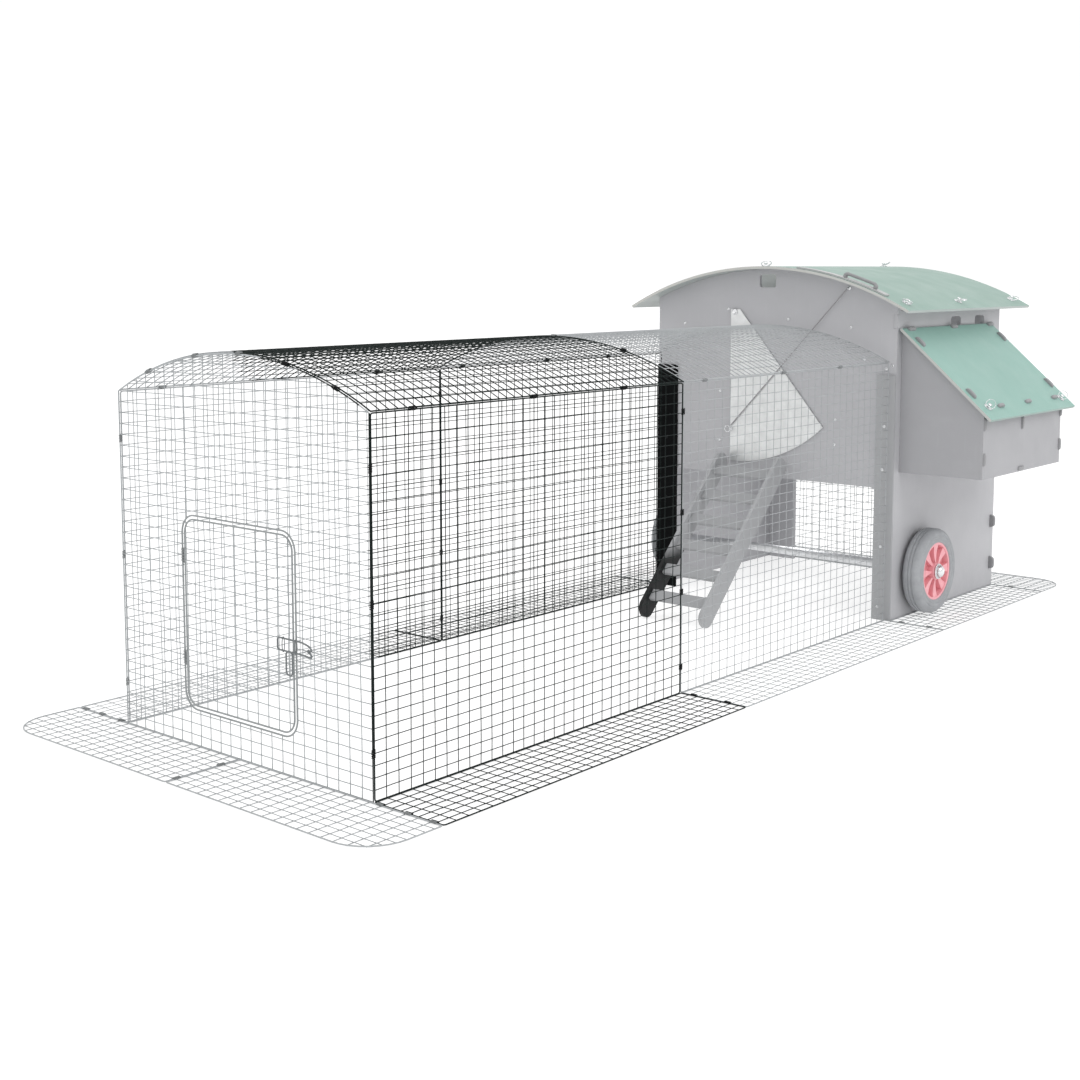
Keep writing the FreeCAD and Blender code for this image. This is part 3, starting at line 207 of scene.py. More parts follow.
def wire_mat(name, colour, rough=0.42, metal=0.0, spec=0.35, vary=0.10):
    """Coated wire: small changes of tone along each wire, worn nicks and a slight drawn grain."""
    g = NT(name)
    tone = g.ramp(g.noise(14.0, 5.0, 0.65), [(0.3, 1 - vary), (0.7, 1 + vary * 0.5)])
    base = g.mix(1.0, (*colour, 1), tone, "MULTIPLY")
    nick = g.ramp(g.noise(160.0, 3.0, 0.6), [(0.70, 0.0), (0.76, 1.0)])
    base = g.mix(g.math("MULTIPLY", nick, 0.35), base, (*scaled(colour, 1.5), 1))
    g.link(base, g.b.inputs["Base Color"])
    g.b.inputs["Metallic"].default_value = metal
    g.link(g.ramp(g.noise(60.0, 3.0), [(0.3, rough - 0.08), (0.7, rough + 0.1)]), g.b.inputs["Roughness"])
    g.b.inputs["Specular IOR Level"].default_value = spec
    g.link(g.bump(g.noise(900.0, 2.0), 0.15, 0.0002), g.b.inputs["Normal"])
    return g.m


def metal(name, colour, rough=0.2, spangle=0.0, scratch=0.3):
    """Bare metal, with zinc spangles when asked."""
    g = NT(name)
    base = g.mix(1.0, (*colour, 1), g.ramp(g.noise(30.0, 5.0), [(0.3, 0.9), (0.7, 1.04)]), "MULTIPLY")
    if spangle > 0:
        v = g.n("ShaderNodeTexVoronoi", Vector=g.co.outputs["Object"], Scale=95.0)
        tone = g.ramp(v.outputs["Color"], [(0.0, 1 - spangle), (1.0, 1 + spangle)])
        base = g.mix(1.0, base, tone, "MULTIPLY")
    g.link(base, g.b.inputs["Base Color"])
    g.b.inputs["Metallic"].default_value = 1.0
    g.link(g.ramp(g.noise(80.0, 4.0), [(0.3, max(0.03, rough - 0.06)), (0.7, rough + 0.12)]), g.b.inputs["Roughness"])
    sc = g.ramp(g.noise(6.0, 5.0, 0.6, (1.0, 90.0, 6.0)), [(0.55, 0.0), (0.62, 1.0), (0.68, 0.0)])
    g.link(g.bump(sc, scratch * 0.4, 0.0002), g.b.inputs["Normal"])
    return g.m


DARK = lin(12, 24, 22)
PALE = lin(164, 167, 169)
M = {}
M["dark_mesh"] = wire_mat("coated_wire_dark", DARK, 0.5, 0.0, 0.12)
M["pale_mesh"] = wire_mat("coated_wire_pale", PALE, 0.45, 0.0, 0.3)
M["mid_mesh"] = wire_mat("coated_wire_mid", lin(166, 170, 172), 0.45, 0.0, 0.3)
M["pale_frame"] = wire_mat("frame_wire_pale", lin(146, 150, 151), 0.4, 0.0, 0.4)
M["clip_black"] = wire_mat("clip_coat", lin(20, 22, 23), 0.5, 0.0, 0.15)
# roof and lid sheets: edge is a painted highlight on their end faces, under a painted colour on their undersides
M["roof_green"] = plastic("roof_sheet", lin(134, 158, 149), 0.46, 0.03, 0.1, 0.08, edge=lin(184, 185, 181), under=lin(172, 178, 176))
M["lid_green"] = plastic("lid_sheet", lin(134, 168, 159), 0.44, 0.035, 0.1, 0.08, edge=lin(180, 182, 178), under=lin(140, 160, 154))
M["grey_plastic"] = plastic("wall_sheet", lin(176, 176, 179), 0.5, 0.035, 0.12, 0.22, dirt=0.22)
# painted shade: the nest box panels are the wall plastic made darker, standing for the shade on its sides
M["nest_plastic_painted_shade"] = plastic("nest_sheet_painted_shade", lin(159, 159, 162), 0.48, 0.035, 0.12, 0.22)
M["inner_plastic"] = plastic("inner_sheet", lin(168, 168, 171), 0.55, 0.05, 0.14, 0.35)
M["black_plastic"] = plastic("black_board", lin(9, 10, 11), 0.6, 0.12, 0.14, 0.3, spec=0.06)
M["dark_grey_plastic"] = plastic("peg_plastic", lin(142, 142, 144), 0.5, 0.07, 0.14, 0.3)
M["post_plastic"] = plastic("post_sheet", lin(160, 161, 163), 0.5, 0.04, 0.12, 0.25, dirt=0.1)
M["handle_plastic"] = plastic("handle_moulding", lin(170, 171, 171), 0.42, 0.05, 0.10, 0.3)
M["rung_plastic"] = plastic("rung_sheet", lin(150, 151, 153), 0.52, 0.04, 0.12, 0.25)
M["grip_plastic"] = plastic("grip_moulding", lin(136, 137, 138), 0.42, 0.05, 0.10, 0.3)
M["latch_wire"] = wire_mat("latch_wire", lin(112, 116, 118), 0.4, 0.0, 0.4)
M["light_mesh"] = wire_mat("coated_wire_light", lin(160, 163, 165), 0.45, 0.0, 0.3)
M["clip_pale"] = wire_mat("clip_coat_pale", lin(132, 135, 136), 0.45, 0.0, 0.4)
M["bright_steel"] = metal("bright_steel", (0.78, 0.79, 0.80), 0.14)
M["galvanised"] = metal("galvanised_tube", (0.70, 0.71, 0.72), 0.40, 0.12)
M["shutter_sheet"] = metal("shutter_sheet", (0.76, 0.77, 0.77), 0.42, 0.012)
M["perch_wood"] = None


def screw_mat():
    """Steel pan heads; those of the black post are blackened."""
    g = NT("screw_steel")
    tone = g.ramp(g.noise(60.0, 4.0), [(0.3, 0.9), (0.7, 1.04)])
    base = g.mix(1.0, (0.70, 0.71, 0.72, 1), tone, "MULTIPLY")
    dark = g.math("LESS_THAN", g.position()[0], -0.41)
    g.link(g.mix(dark, base, (0.02, 0.021, 0.022, 1)), g.b.inputs["Base Color"])
    g.b.inputs["Metallic"].default_value = 1.0
    g.link(g.ramp(g.noise(80.0, 4.0), [(0.3, 0.2), (0.7, 0.34)]), g.b.inputs["Roughness"])
    g.link(g.bump(g.noise(300.0, 4.0), 0.08, 0.0002), g.b.inputs["Normal"])
    return g.m


def tyre_mat():
    g = NT("tyre_rubber")
    base = g.mix(g.ramp(g.noise(24.0, 6.0, 0.7), [(0.35, 0.0), (0.7, 1.0)]), (*lin(148, 150, 153), 1), (*lin(163, 165, 168), 1))
    dust = g.ramp(g.noise(130.0, 4.0), [(0.55, 0.0), (0.75, 1.0)])
    base = g.mix(g.math("MULTIPLY", dust, 0.25), base, (*lin(184, 184, 181), 1))
    g.link(base, g.b.inputs["Base Color"])
    g.b.inputs["Roughness"].default_value = 0.82
    g.b.inputs["Specular IOR Level"].default_value = 0.2
    g.link(g.bump(g.noise(500.0, 3.0), 0.25, 0.0006), g.b.inputs["Normal"])
    return g.m


def hub_mat():
    g = NT("hub_moulding")
    base = g.mix(g.ramp(g.noise(16.0, 5.0, 0.6), [(0.3, 0.0), (0.7, 1.0)]), (*lin(225, 152, 160), 1), (*lin(235, 168, 174), 1))
    dirt = g.ramp(g.noise(70.0, 5.0, 0.7), [(0.58, 0.0), (0.78, 1.0)])
    base = g.mix(g.math("MULTIPLY", dirt, 0.22), base, (*lin(202, 150, 152), 1))
    g.link(base, g.b.inputs["Base Color"])
    g.link(g.ramp(g.noise(20.0, 4.0), [(0.3, 0.30), (0.7, 0.5)]), g.b.inputs["Roughness"])
    g.link(g.bump(g.noise(260.0, 3.0), 0.12, 0.0005), g.b.inputs["Normal"])
    return g.m


def wood_mat():
    g = NT("perch_wood")
    wv = g.n("ShaderNodeTexWave", Vector=g.mapping((1.0, 14.0, 14.0)), Scale=2.2, Distortion=5.0, Detail=4.0)
    base = g.mix(wv.outputs["Fac"], (*lin(196, 172, 138), 1), (*lin(168, 140, 104), 1))
    g.link(base, g.b.inputs["Base Color"])
    g.b.inputs["Roughness"].default_value = 0.75
    g.link(g.bump(wv.outputs["Fac"], 0.3, 0.0008), g.b.inputs["Normal"])
    return g.m


def cord_mat():
    g = NT("braided_cord")
    w = g.n("ShaderNodeTexWave", Vector=g.mapping((1.0, 1.0, 1.0)), Scale=330.0, Distortion=1.5)
    base = g.mix(w.outputs["Fac"], (*lin(126, 124, 126), 1), (*lin(160, 158, 160), 1))
    g.link(base, g.b.inputs["Base Color"])
    g.b.inputs["Roughness"].default_value = 0.85
    g.link(g.bump(w.outputs["Fac"], 0.4, 0.0005), g.b.inputs["Normal"])
    return g.m


def board_mat():
    """The left ramp board: black foot, paler and dustier towards its top."""
    g = NT("ramp_board_shaded")
    cloud = g.ramp(g.noise(9.0, 6.0, 0.65), [(0.3, 0.85), (0.7, 1.1)])
    foot = g.mix(1.0, (*lin(16, 17, 18), 1), cloud, "MULTIPLY")
    top = g.mix(1.0, (*lin(158, 159, 161), 1), cloud, "MULTIPLY")
    s = g.math("ADD", g.position()[2], g.math("MULTIPLY", g.noise(30.0, 4.0), 0.02))
    base = g.mix(g.ramp(s, [(0.175, 0.0), (0.215, 1.0)]), foot, top)
    g.link(base, g.b.inputs["Base Color"])
    g.link(g.ramp(g.noise(20.0, 4.0), [(0.3, 0.42), (0.7, 0.6)]), g.b.inputs["Roughness"])
    g.b.inputs["Specular IOR Level"].default_value = 0.3
    g.link(g.bump(g.noise(600.0, 3.0), 0.14, 0.0004), g.b.inputs["Normal"])
    return g.m


M["screw_steel"] = screw_mat()
M["tyre_grey"] = tyre_mat()
M["hub_red"] = hub_mat()
M["perch_wood"] = wood_mat()
M["cord"] = cord_mat()
M["board"] = board_mat()


# ------------------------------------------------------------------ mesh tools
def build(name, verts, faces, mats, body, replaced=(), smooth=True, index=None, bevel=0.0):
    me = bpy.data.meshes.new(name)
    v = (np.asarray(verts, float) + SHIFT) / 1000
    me.from_pydata(v.tolist(), [], faces)
    for m in mats:
        me.materials.append(m)
    if index is not None:
        me.polygons.foreach_set("material_index", index)
    if smooth:
        me.polygons.foreach_set("use_smooth", [True] * len(me.polygons))
    me.validate()
    me.update()
    ob = bpy.data.objects.new(name, me)
    bpy.context.scene.collection.objects.link(ob)
    if bevel:
        b = ob.modifiers.new("bevel", "BEVEL")
        b.width, b.segments, b.limit_method, b.angle_limit = bevel, 3, "ANGLE", math.radians(35)
    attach(ob, body)
    if replaced:
        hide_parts(*replaced)
    return ob


class Tubes:
    """Many round wires in one mesh."""

    def __init__(self):
        self.v, self.f, self.m, self.n = [], [], [], 0

    def add(self, pts, r, sides=6, closed=False, test=None, cap=True, phase=0.0, taper=None):
        P = np.asarray(pts, float)
        n = len(P)
        T = (np.roll(P, -1, 0) - np.roll(P, 1, 0)) if closed else np.gradient(P, axis=0)
        T = T / np.maximum(np.linalg.norm(T, axis=1), 1e-9)[:, None]
        ref = np.array([0, 0, 1.0]) if abs(T[0][2]) < 0.9 else np.array([1.0, 0, 0])
        u = np.cross(T[0], ref)
        U = np.empty_like(P)
        for i in range(n):
            u = u - T[i] * (u @ T[i])
            u = u / np.linalg.norm(u)
            U[i] = u
        W = np.cross(T, U)
        a = phase + 2 * np.pi * np.arange(sides) / sides
        rad = np.full(n, float(r)) if taper is None else r * np.asarray(taper, float)
        ring = P[:, None, :] + rad[:, None, None] * (np.cos(a)[None, :, None] * U[:, None, :] + np.sin(a)[None, :, None] * W[:, None, :])
        self.v.append(ring.reshape(-1, 3))
        b = self.n
        k = n if closed else n - 1
        for i in range(k):
            j = (i + 1) % n
            mid = (P[i] + P[j]) / 2
            mi = 0 if test is None else int(test(mid))
            for s in range(sides):
                s2 = (s + 1) % sides
                self.f.append((b + i * sides + s, b + i * sides + s2, b + j * sides + s2, b + j * sides + s))
                self.m.append(mi)
        if not closed and cap:
            self.f.append(tuple(b + s for s in reversed(range(sides))))
            self.f.append(tuple(b + (n - 1) * sides + s for s in range(sides)))
            e0 = 0 if test is None else int(test(P[0]))
            e1 = 0 if test is None else int(test(P[-1]))
            self.m += [e0, e1]
        self.n += n * sides

    def make(self, name, mats, body, replaced=(), slot=None):
        return build(name, np.concatenate(self.v), self.f, mats, body, replaced, True, self.m)


def lathe(profile, axis_o, axis_d, up, seg=48, closed=True):
    """A turned solid: profile of (radius, height) points round the axis. Returns verts and faces."""
    o, d = np.asarray(axis_o, float), np.asarray(axis_d, float)
    d = d / np.linalg.norm(d)
    u = np.asarray(up, float)
    u = u - d * (u @ d)
    u /= np.linalg.norm(u)
    w = np.cross(d, u)
    v, f = [], []
    n = len(profile)
    for i in range(seg):
        a = 2 * math.pi * i / seg
        dirv = math.cos(a) * u + math.sin(a) * w
        for r, h in profile:
            v.append(o + d * h + dirv * max(r, 1e-4))
    for i in range(seg):
        j = (i + 1) % seg
        for k in range(n if closed else n - 1):
            k2 = (k + 1) % n
            f.append((i * n + k, i * n + k2, j * n + k2, j * n + k))
    return v, f


class Soup:
    """Collects solids into one mesh."""

    def __init__(self):
        self.v, self.f, self.m = [], [], []

    def add(self, v, f, mi=0):
        b = len(self.v)
        self.v += [tuple(map(float, p)) for p in v]
        self.f += [tuple(b + i for i in q) for q in f]
        self.m += [mi] * len(f)

    def tubes(self, t, mi=0):
        self.add(np.concatenate(t.v), t.f, mi)

    def make(self, name, mats, body, replaced=(), slot=None, smooth=True, bevel=0.0):
        ob = build(name, self.v, self.f, mats, body, replaced, smooth, self.m, bevel)
        bm = bmesh.new()
        bm.from_mesh(ob.data)
        bmesh.ops.recalc_face_normals(bm, faces=bm.faces)
        bm.to_mesh(ob.data)
        bm.free()
        return ob


def sharp(ob, angle=38):
    """Keeps hard edges crisp on smooth-shaded solids."""
    bm = bmesh.new()
    bm.from_mesh(ob.data)
    for e in bm.edges:
        if len(e.link_faces) == 2 and e.calc_face_angle(0) > math.radians(angle):
            e.smooth = False
    bm.to_mesh(ob.data)
    bm.free()
    return ob


def fin(o, ax, ay, az, length, height, thick, rnd=1.8, n=14):
    """An ear-shaped plate: half an ellipse-like outline along ax, rising along az, thick along ay, with eased edges."""
    o, ax, ay, az = (np.asarray(q, float) for q in (o, ax, ay, az))
    rings = []
    for t, k in ((0.0, rnd), (rnd * 0.35, rnd * 0.35), (rnd, 0.0), (thick - rnd, 0.0), (thick - rnd * 0.35, rnd * 0.35), (thick, rnd)):
        ring = []
        for i in range(n + 1):
            a = math.pi * i / n
            c, s = math.cos(a), math.sin(a)
            e = 0.62
            x = math.copysign(abs(c) ** e, c) * (length / 2 - k)
            z = (abs(s) ** e) * (height - k)
            ring.append(o + ax * (length / 2 + x) + ay * t + az * z)
        rings.append(ring)
    v = [p for r in rings for p in r]
    m = n + 1
    f = []
    for i in range(len(rings) - 1):
        for j in range(m):
            j2 = (j + 1) % m
            f.append((i * m + j, i * m + j2, (i + 1) * m + j2, (i + 1) * m + j))
    f.append(tuple(reversed(range(m))))
    f.append(tuple((len(rings) - 1) * m + j for j in range(m)))
    return v, f


# ------------------------------------------------------------------ welded mesh
R_W, R_B = 1.05, 1.6
RUN_W, EAVE, RISE, SEC = 417.0, 780.0, 100.0, 1050.0
RR = (RUN_W ** 2 + RISE ** 2) / (2 * RISE)
RC = EAVE + RISE - RR
ROW, COL = EAVE / 31, 2 * RUN_W / 24


def arch_z(x, r=RR):
    return RC + math.sqrt(max(0.0, r * r - x * x))


def wobble(n, amp):
    """A slow random wave."""
    t = np.linspace(0, 1, n)
    p = RNG.uniform(0, 2 * np.pi, 3)
    k = RNG.uniform(0.8, 3.2, 3)
    return amp * sum(np.sin(2 * np.pi * k[i] * t + p[i]) for i in range(3)) / 2.2


def wire_line(a, b, side, amp=0.35, step=48.0):
    a, b = np.asarray(a, float), np.asarray(b, float)
    n = max(3, int(np.linalg.norm(b - a) / step) + 2)
    t = np.linspace(0, 1, n)[:, None]
    P = a + (b - a) * t
    w = wobble(n, amp)
    w[0] = w[-1] = 0
    return P + w[:, None] * np.asarray(side, float)


def frange(a, b, n):
    return [a + (b - a) * i / n for i in range(1, n)]


def flat_mesh(name, body, o, U, V, N, u1, v1, us, vs, mats, replaced, slot, test=None, first="v", u0=0.0, v0=0.0, corner=0.0, corners=(0, 0, 0, 0), extra=None, amp=0.35, border=True, rw=None):
    """A rectangle of welded wires. o is the corner, U and V its sides, N the way from the first wires to the second.
    first says which wires lie lower along N: "v" for those that run along V."""
    o, U, V, N = (np.asarray(q, float) for q in (o, U, V, N))
    t = Tubes()
    rw = rw or R_W
    d1, d2 = 1.05, 3.12
    dv, du = (d1, d2) if first == "v" else (d2, d1)
    inset = 1.6

    def lim(c, lo, hi, a0, a1, flag0, flag1, lowside):
        """How far a corner's rounding moves the end of a wire at c."""
        r = corner
        if r <= 0:
            return 0.0
        if flag0 and c < lo + r:
            q = lo + r - c
            return r - math.sqrt(max(0.0, r * r - q * q))
        if flag1 and c > hi - r:
            q = c - (hi - r)
            return r - math.sqrt(max(0.0, r * r - q * q))
        return 0.0

    c00, c10, c11, c01 = corners
    for u in us:
        e0 = lim(u, u0, u1, 0, 0, c00, c10, True)
        e1 = lim(u, u0, u1, 0, 0, c01, c11, False)
        a, b = v0 + inset + e0, v1 - inset - e1
        if b - a > 4:
            t.add(wire_line(o + U * u + V * a + N * dv, o + U * u + V * b + N * dv, U, amp), rw, 6, test=test)
    for v in vs:
        e0 = lim(v, v0, v1, 0, 0, c00, c01, True)
        e1 = lim(v, v0, v1, 0, 0, c10, c11, False)
        a, b = u0 + inset + e0, u1 - inset - e1
        if b - a > 4:
            t.add(wire_line(o + U * a + V * v + N * du, o + U * b + V * v + N * du, V, amp), rw, 6, test=test)
    if border:
        path = []
        i = R_B
        for (cu, cv), (su, sv), on, a0 in (((u0, v0), (1, 1), c00, 180), ((u1, v0), (-1, 1), c10, 270), ((u1, v1), (-1, -1), c11, 0), ((u0, v1), (1, -1), c01, 90)):
            r = (corner - i) if on else 5.0
            cx, cy = cu + su * (i + r), cv + sv * (i + r)
            for k in range(9 if on else 4):
                a = math.radians(a0 + 90.0 * k / (8 if on else 3))
                path.append((cx + r * math.cos(a), cy + r * math.sin(a)))
        full = []
        for (p, q), (p2, q2) in zip(path, path[1:] + path[:1]):
            n = max(1, int(math.hypot(p2 - p, q2 - q) / 60))
            for k in range(n):
                full.append(o + U * (p + (p2 - p) * k / n) + V * (q + (q2 - q) * k / n) + N * 2.05)
        t.add(full, R_B, 8, closed=True, test=test)
    if extra:
        extra(t)
    return t.make(name, mats, body, replaced, slot)


X, Y, Z = np.eye(3)
DARK_T, PALE_T = [M["dark_mesh"], M["pale_mesh"]], [M["pale_mesh"], M["dark_mesh"]]
LIGHT_T = [M["light_mesh"], M["dark_mesh"]]
HR = "house_and_run"

# side walls of the two sections; the front part of the left wall is bleached
for side, x0, N, first in (("left", -RUN_W, X, "v"), ("right", RUN_W - 4.1, X, "v")):
    for k, (y0, y1) in enumerate(((5.0, SEC - 0.5), (SEC + 0.5, 2 * SEC)), 1):
        ln = y1 - y0
        test, mats, rw = None, DARK_T, R_W
        if (side, k) == ("left", 1):
            test, mats = (lambda p: p[1] > 772), PALE_T
        elif (side, k) == ("right", 2):
            mats, rw = LIGHT_T, 0.85
        elif (side, k) == ("right", 1):
            rw = 1.0
        flat_mesh("%s_wall_wires_%d" % (side, k), HR, (x0, y0, 0), Y, Z, N, ln, EAVE - 0.6, frange(0, ln, 30),
                  [ROW * i for i in range(1, 31)], mats, ["run_%s_mesh_%d" % (side, k)],
                  "dark_mesh" if mats is DARK_T else "pale_mesh", test, amp=0.7, rw=rw)


# arched roofs: hoops across, long wires along
def roof_wires(k, y0, y1, mats, slot, test):
    t = Tubes()
    am = math.asin(RUN_W / RR)
    ln = y1 - y0

    def hoop(y, r, rad, sides):
        pts = []
        w = wobble(25, 0.3)
        for i in range(25):
            a = -am + 2 * am * i / 24
            pts.append((r * math.sin(a) * 1.0, y + w[i], RC + r * math.cos(a)))
        t.add(pts, rad, sides, test=test)

    for i in range(1, 42):
        hoop(y0 + ln * i / 42, RR + 2.2, 1.12, 6)
    hoop(y0 + 1.6, RR + 1.2, R_B, 8)
    hoop(y1 - 1.6, RR + 1.2, R_B, 8)
    for j in range(1, 24):
        a = -am + 2 * am * j / 24
        p = np.array([RR * math.sin(a), 0, RC + RR * math.cos(a)]) + np.array([math.sin(a), 0, math.cos(a)]) * 0.1
        t.add(wire_line(p + Y * (y0 + 1), p + Y * (y1 - 1), (math.cos(a), 0, -math.sin(a)), 0.4), R_W, 6, test=test)
    for s in (-1, 1):
        p = np.array([s * (RUN_W - 1.0), 0, EAVE + 1.9])
        t.add(wire_line(p + Y * y0, p + Y * y1, Y * 0, 0.0), R_B, 8, test=test)
    t.make("run_roof_wires_%d" % k, mats, HR, ["run_roof_mesh_%d" % k], slot)


roof_wires(1, 5.0, SEC - 0.5, DARK_T[::1], "dark_mesh", lambda p: 1 if (p[0] < 60 and p[1] < (0 - p[0]) * 0.9 + 54 - 60) else 0)
roof_wires(2, SEC + 0.5, 2 * SEC, PALE_T, "pale_mesh", None)

# front panel: the wires end on the fixed door ring
t = Tubes()
ring_x, ring_lo, ring_hi, ring_r = 189.5, 83.0, 519.0, 42.0


def ring_half(z):
    """Half width of the door ring at height z."""
    if z < ring_lo or z > ring_hi:
        return None
    q = ring_lo + ring_r - z if z < ring_lo + ring_r else (z - (ring_hi - ring_r) if z > ring_hi - ring_r else 0.0)
    return ring_x - ring_r + math.sqrt(max(0.0, ring_r ** 2 - q * q)) if q > 0 else ring_x


def ring_span(x):
    """Lower and upper height where the upright at x meets the ring."""
    ax = abs(x)
    if ax > ring_x:
        return None
    q = ax - (ring_x - ring_r)
    e = ring_r - math.sqrt(max(0.0, ring_r ** 2 - q * q)) if q > 0 else 0.0
    return ring_lo + e, ring_hi - e


for i in range(1, 24):
    x = -RUN_W + COL * i
    top = arch_z(x) - 1.6
    sp = ring_span(x)
    for a, b in (((1.6, sp[0]), (sp[1], top)) if sp else ((1.6, top),)):
        t.add(wire_line((x, 3.1, a), (x, 3.1, b), X, 0.9), 1.05, 6)
for j in range(1, 35):
    z = ROW * j
    if z > EAVE + RISE - 6:
        break
    w = RUN_W - 1.6 if z < EAVE else math.sqrt(max(0.0, RR ** 2 - (z - RC) ** 2)) - 2
    if w < 12:
        continue
    h = ring_half(z)
    for a, b in (((-w, -h), (h, w)) if h else ((-w, w),)):
        t.add(wire_line((a, 1.05, z), (b, 1.05, z), Z, 0.9), 1.05, 6)
am = math.asin(RUN_W / RR)
out = [(-RUN_W + 1.6, 2.05, 1.6), (0, 2.05, 1.6), (RUN_W - 1.6, 2.05, 1.6)]
out += [(RUN_W - 1.6, 2.05, zz) for zz in (200, 400, 600)]
out += [((RR - 1.6) * math.sin(am * (1 - i / 14)), 2.05, RC + (RR - 1.6) * math.cos(am * (1 - i / 14))) for i in range(0, 29)]
out += [(-RUN_W + 1.6, 2.05, zz) for zz in (600, 400, 200)]
t.add(out, R_B, 8, closed=True, test=lambda p: 1 if (p[0] > 90 and p[2] > 790) or p[0] > 413 else 0)
t.make("front_panel_wires", [M["mid_mesh"], M["dark_mesh"]], HR, ["run_front_panel"], "pale_mesh")


def rr_path(x0, z0, x1, z1, r, y, seg=10):
    p = []
    for cx, cz, a0 in ((x1 - r, z1 - r, 0), (x0 + r, z1 - r, 90), (x0 + r, z0 + r, 180), (x1 - r, z0 + r, 270)):
        for i in range(seg + 1):
            a = math.radians(a0 + 90 * i / seg)
            p.append((cx + r * math.cos(a), y, cz + r * math.sin(a)))
    out = []
    for a, b in zip(p, p[1:] + p[:1]):
        n = max(1, int(math.dist(a, b) / 50))
        out += [tuple(a[k] + (b[k] - a[k]) * i / n for k in range(3)) for i in range(n)]
    return out


t = Tubes()
t.add(rr_path(-189.5, 83, 189.5, 519, 42, 2.1), 2.0, 10, closed=True)
t.make("doorway_ring", [M["pale_frame"]], HR, ["doorway_frame"], "pale_frame")
t = Tubes()
t.add(rr_path(-180.5, 92, 180.5, 510, 33, 2.1), 2.0, 10, closed=True)
t.make("door_ring", [M["pale_frame"]], "run_door", ["run_door_frame"], "pale_frame")
t = Tubes()
for i in range(1, 11):
    x = -182.5 + COL * i
    q = abs(x) - (180.5 - 33)
    e = 33 - math.sqrt(33 * 33 - q * q) if q > 0 else 0
    t.add(wire_line((x, 3.1, 92 + e), (x, 3.1, 510 - e), X, 0.9), 1.05, 6)
for j in range(1, 17):
    z = 90 + ROW * j
    if z > 506:
        break
    q = max(92 + 33 - z, z - (510 - 33), 0)
    e = 33 - math.sqrt(33 * 33 - q * q)
    t.add(wire_line((-180.5 + e, 1.05, z), (180.5 - e, 1.05, z), Z, 0.9), 1.05, 6)
t.make("door_wires", [M["mid_mesh"]], "run_door", ["run_door_mesh"], "pale_mesh")

# hinge coils round the fixed ring's left side, each with two tails to the door
t = Tubes()
for z0 in (180.0, 410.0):
    pts = []
    for i in range(10 * 9 + 1):
        a = 2 * math.pi * i / 10
        pts.append((-189.5 + 3.55 * math.cos(a), 2.1 + 3.55 * math.sin(a), z0 + 1 + 32 * i / 90))
    t.add(pts, 0.95, 6)
    for zz in (z0 + 1, z0 + 33):
        t.add([(-185.95, 2.1, zz), (-184.5, 0.6, zz), (-182.5, -0.6, zz), (-180.0, -0.9, zz), (-178.2, 0.2, zz)], 0.95, 6)
t.make("door_hinge_coils", [M["pale_frame"]], "run_door", ["run_door_hinge_sleeves"], "pale_frame")

# sliding latch: a long bent loop with a hanging finger loop
t = Tubes()
y = -8.0
pts = [(142.0, 292), (145, 295.6), (152, 296), (190, 296), (215, 296), (228, 294), (240, 291), (247, 286), (248.5, 282.5), (244, 281), (238, 283),
       (236, 280), (244, 276), (249.5, 271.5), (248, 268.5), (240, 268), (225, 269.5), (210, 270), (180, 270), (152, 270), (145, 270.4), (142, 274)]
sm = []
for a, b in zip(pts, pts[1:] + pts[:1]):
    n = max(1, int(math.dist(a, b) / 6))
    sm += [(a[0] + (b[0] - a[0]) * i / n, y, a[1] + (b[1] - a[1]) * i / n) for i in range(n)]
t.add(sm, 2.0, 8, closed=True)
t.add(rr_path(168.6, 220, 188.4, 270.5, 8.5, y, 6), 1.8, 8, closed=True)
for xx in (160.0, 200.0):
    t.add([(xx, y + 1.9 * math.sin(a) * 1.7, 283 + 16 * math.cos(a)) for a in np.linspace(0, 2 * math.pi, 25)[:-1]], 1.0, 6, closed=True)
t.make("door_latch_wire", [M["latch_wire"]], "run_door_latch", ["run_door_latch"], "pale_frame")

# ground skirts
SW, INX, X1 = 195.0, 417.6, 612.6
HX, HF, HB = 434.0, 2112.0, 2818.0


def skirt(name, x0, y0, x1, y1, nx, ny, mats, corner=0.0, corners=(0, 0, 0, 0), test=None, rw=None):
    flat_mesh(name + "_wires", HR, (x0, y0, 0), X, Y, Z, x1 - x0, y1 - y0, frange(0, x1 - x0, nx), frange(0, y1 - y0, ny), mats, [name],
              "dark_mesh" if mats is DARK_T else "pale_mesh", test, corner=corner, corners=corners, amp=1.1, rw=rw)


skirt("skirt_front_left", -X1, -SW - 0.6, -0.4, -0.6, 18, 8, PALE_T, 100, (1, 0, 0, 0), rw=0.98)
skirt("skirt_front_right", 0.4, -SW - 0.6, X1, -0.6, 18, 8, PALE_T, 100, (0, 1, 0, 0), rw=0.98)
skirt("skirt_left_1", -X1, 0, -INX, SEC - 0.5, 8, 30, LIGHT_T, test=lambda p: p[1] > 778 + (-417 - p[0]) * 0.93, rw=0.75)
skirt("skirt_right_1", INX, 0, X1, SEC - 0.5, 8, 30, DARK_T, rw=0.98)
skirt("skirt_left_2", -X1, SEC + 0.5, -INX, HF - 6.8, 8, 30, DARK_T, rw=0.75)
skirt("skirt_right_2", INX, SEC + 0.5, X1, HF - 6.8, 8, 30, LIGHT_T, rw=0.85)
skirt("skirt_house_left", -X1, HF - 6, -HX - 0.6, HB + 0.2, 7, 20, PALE_T)
skirt("skirt_house_right", HX + 0.6, HF - 6, X1, HB + 0.2, 7, 20, PALE_T)
skirt("skirt_house_back", -X1, HB + 0.8, X1, HB + 0.8 + SW, 35, 8, PALE_T, 100, (0, 0, 1, 1))
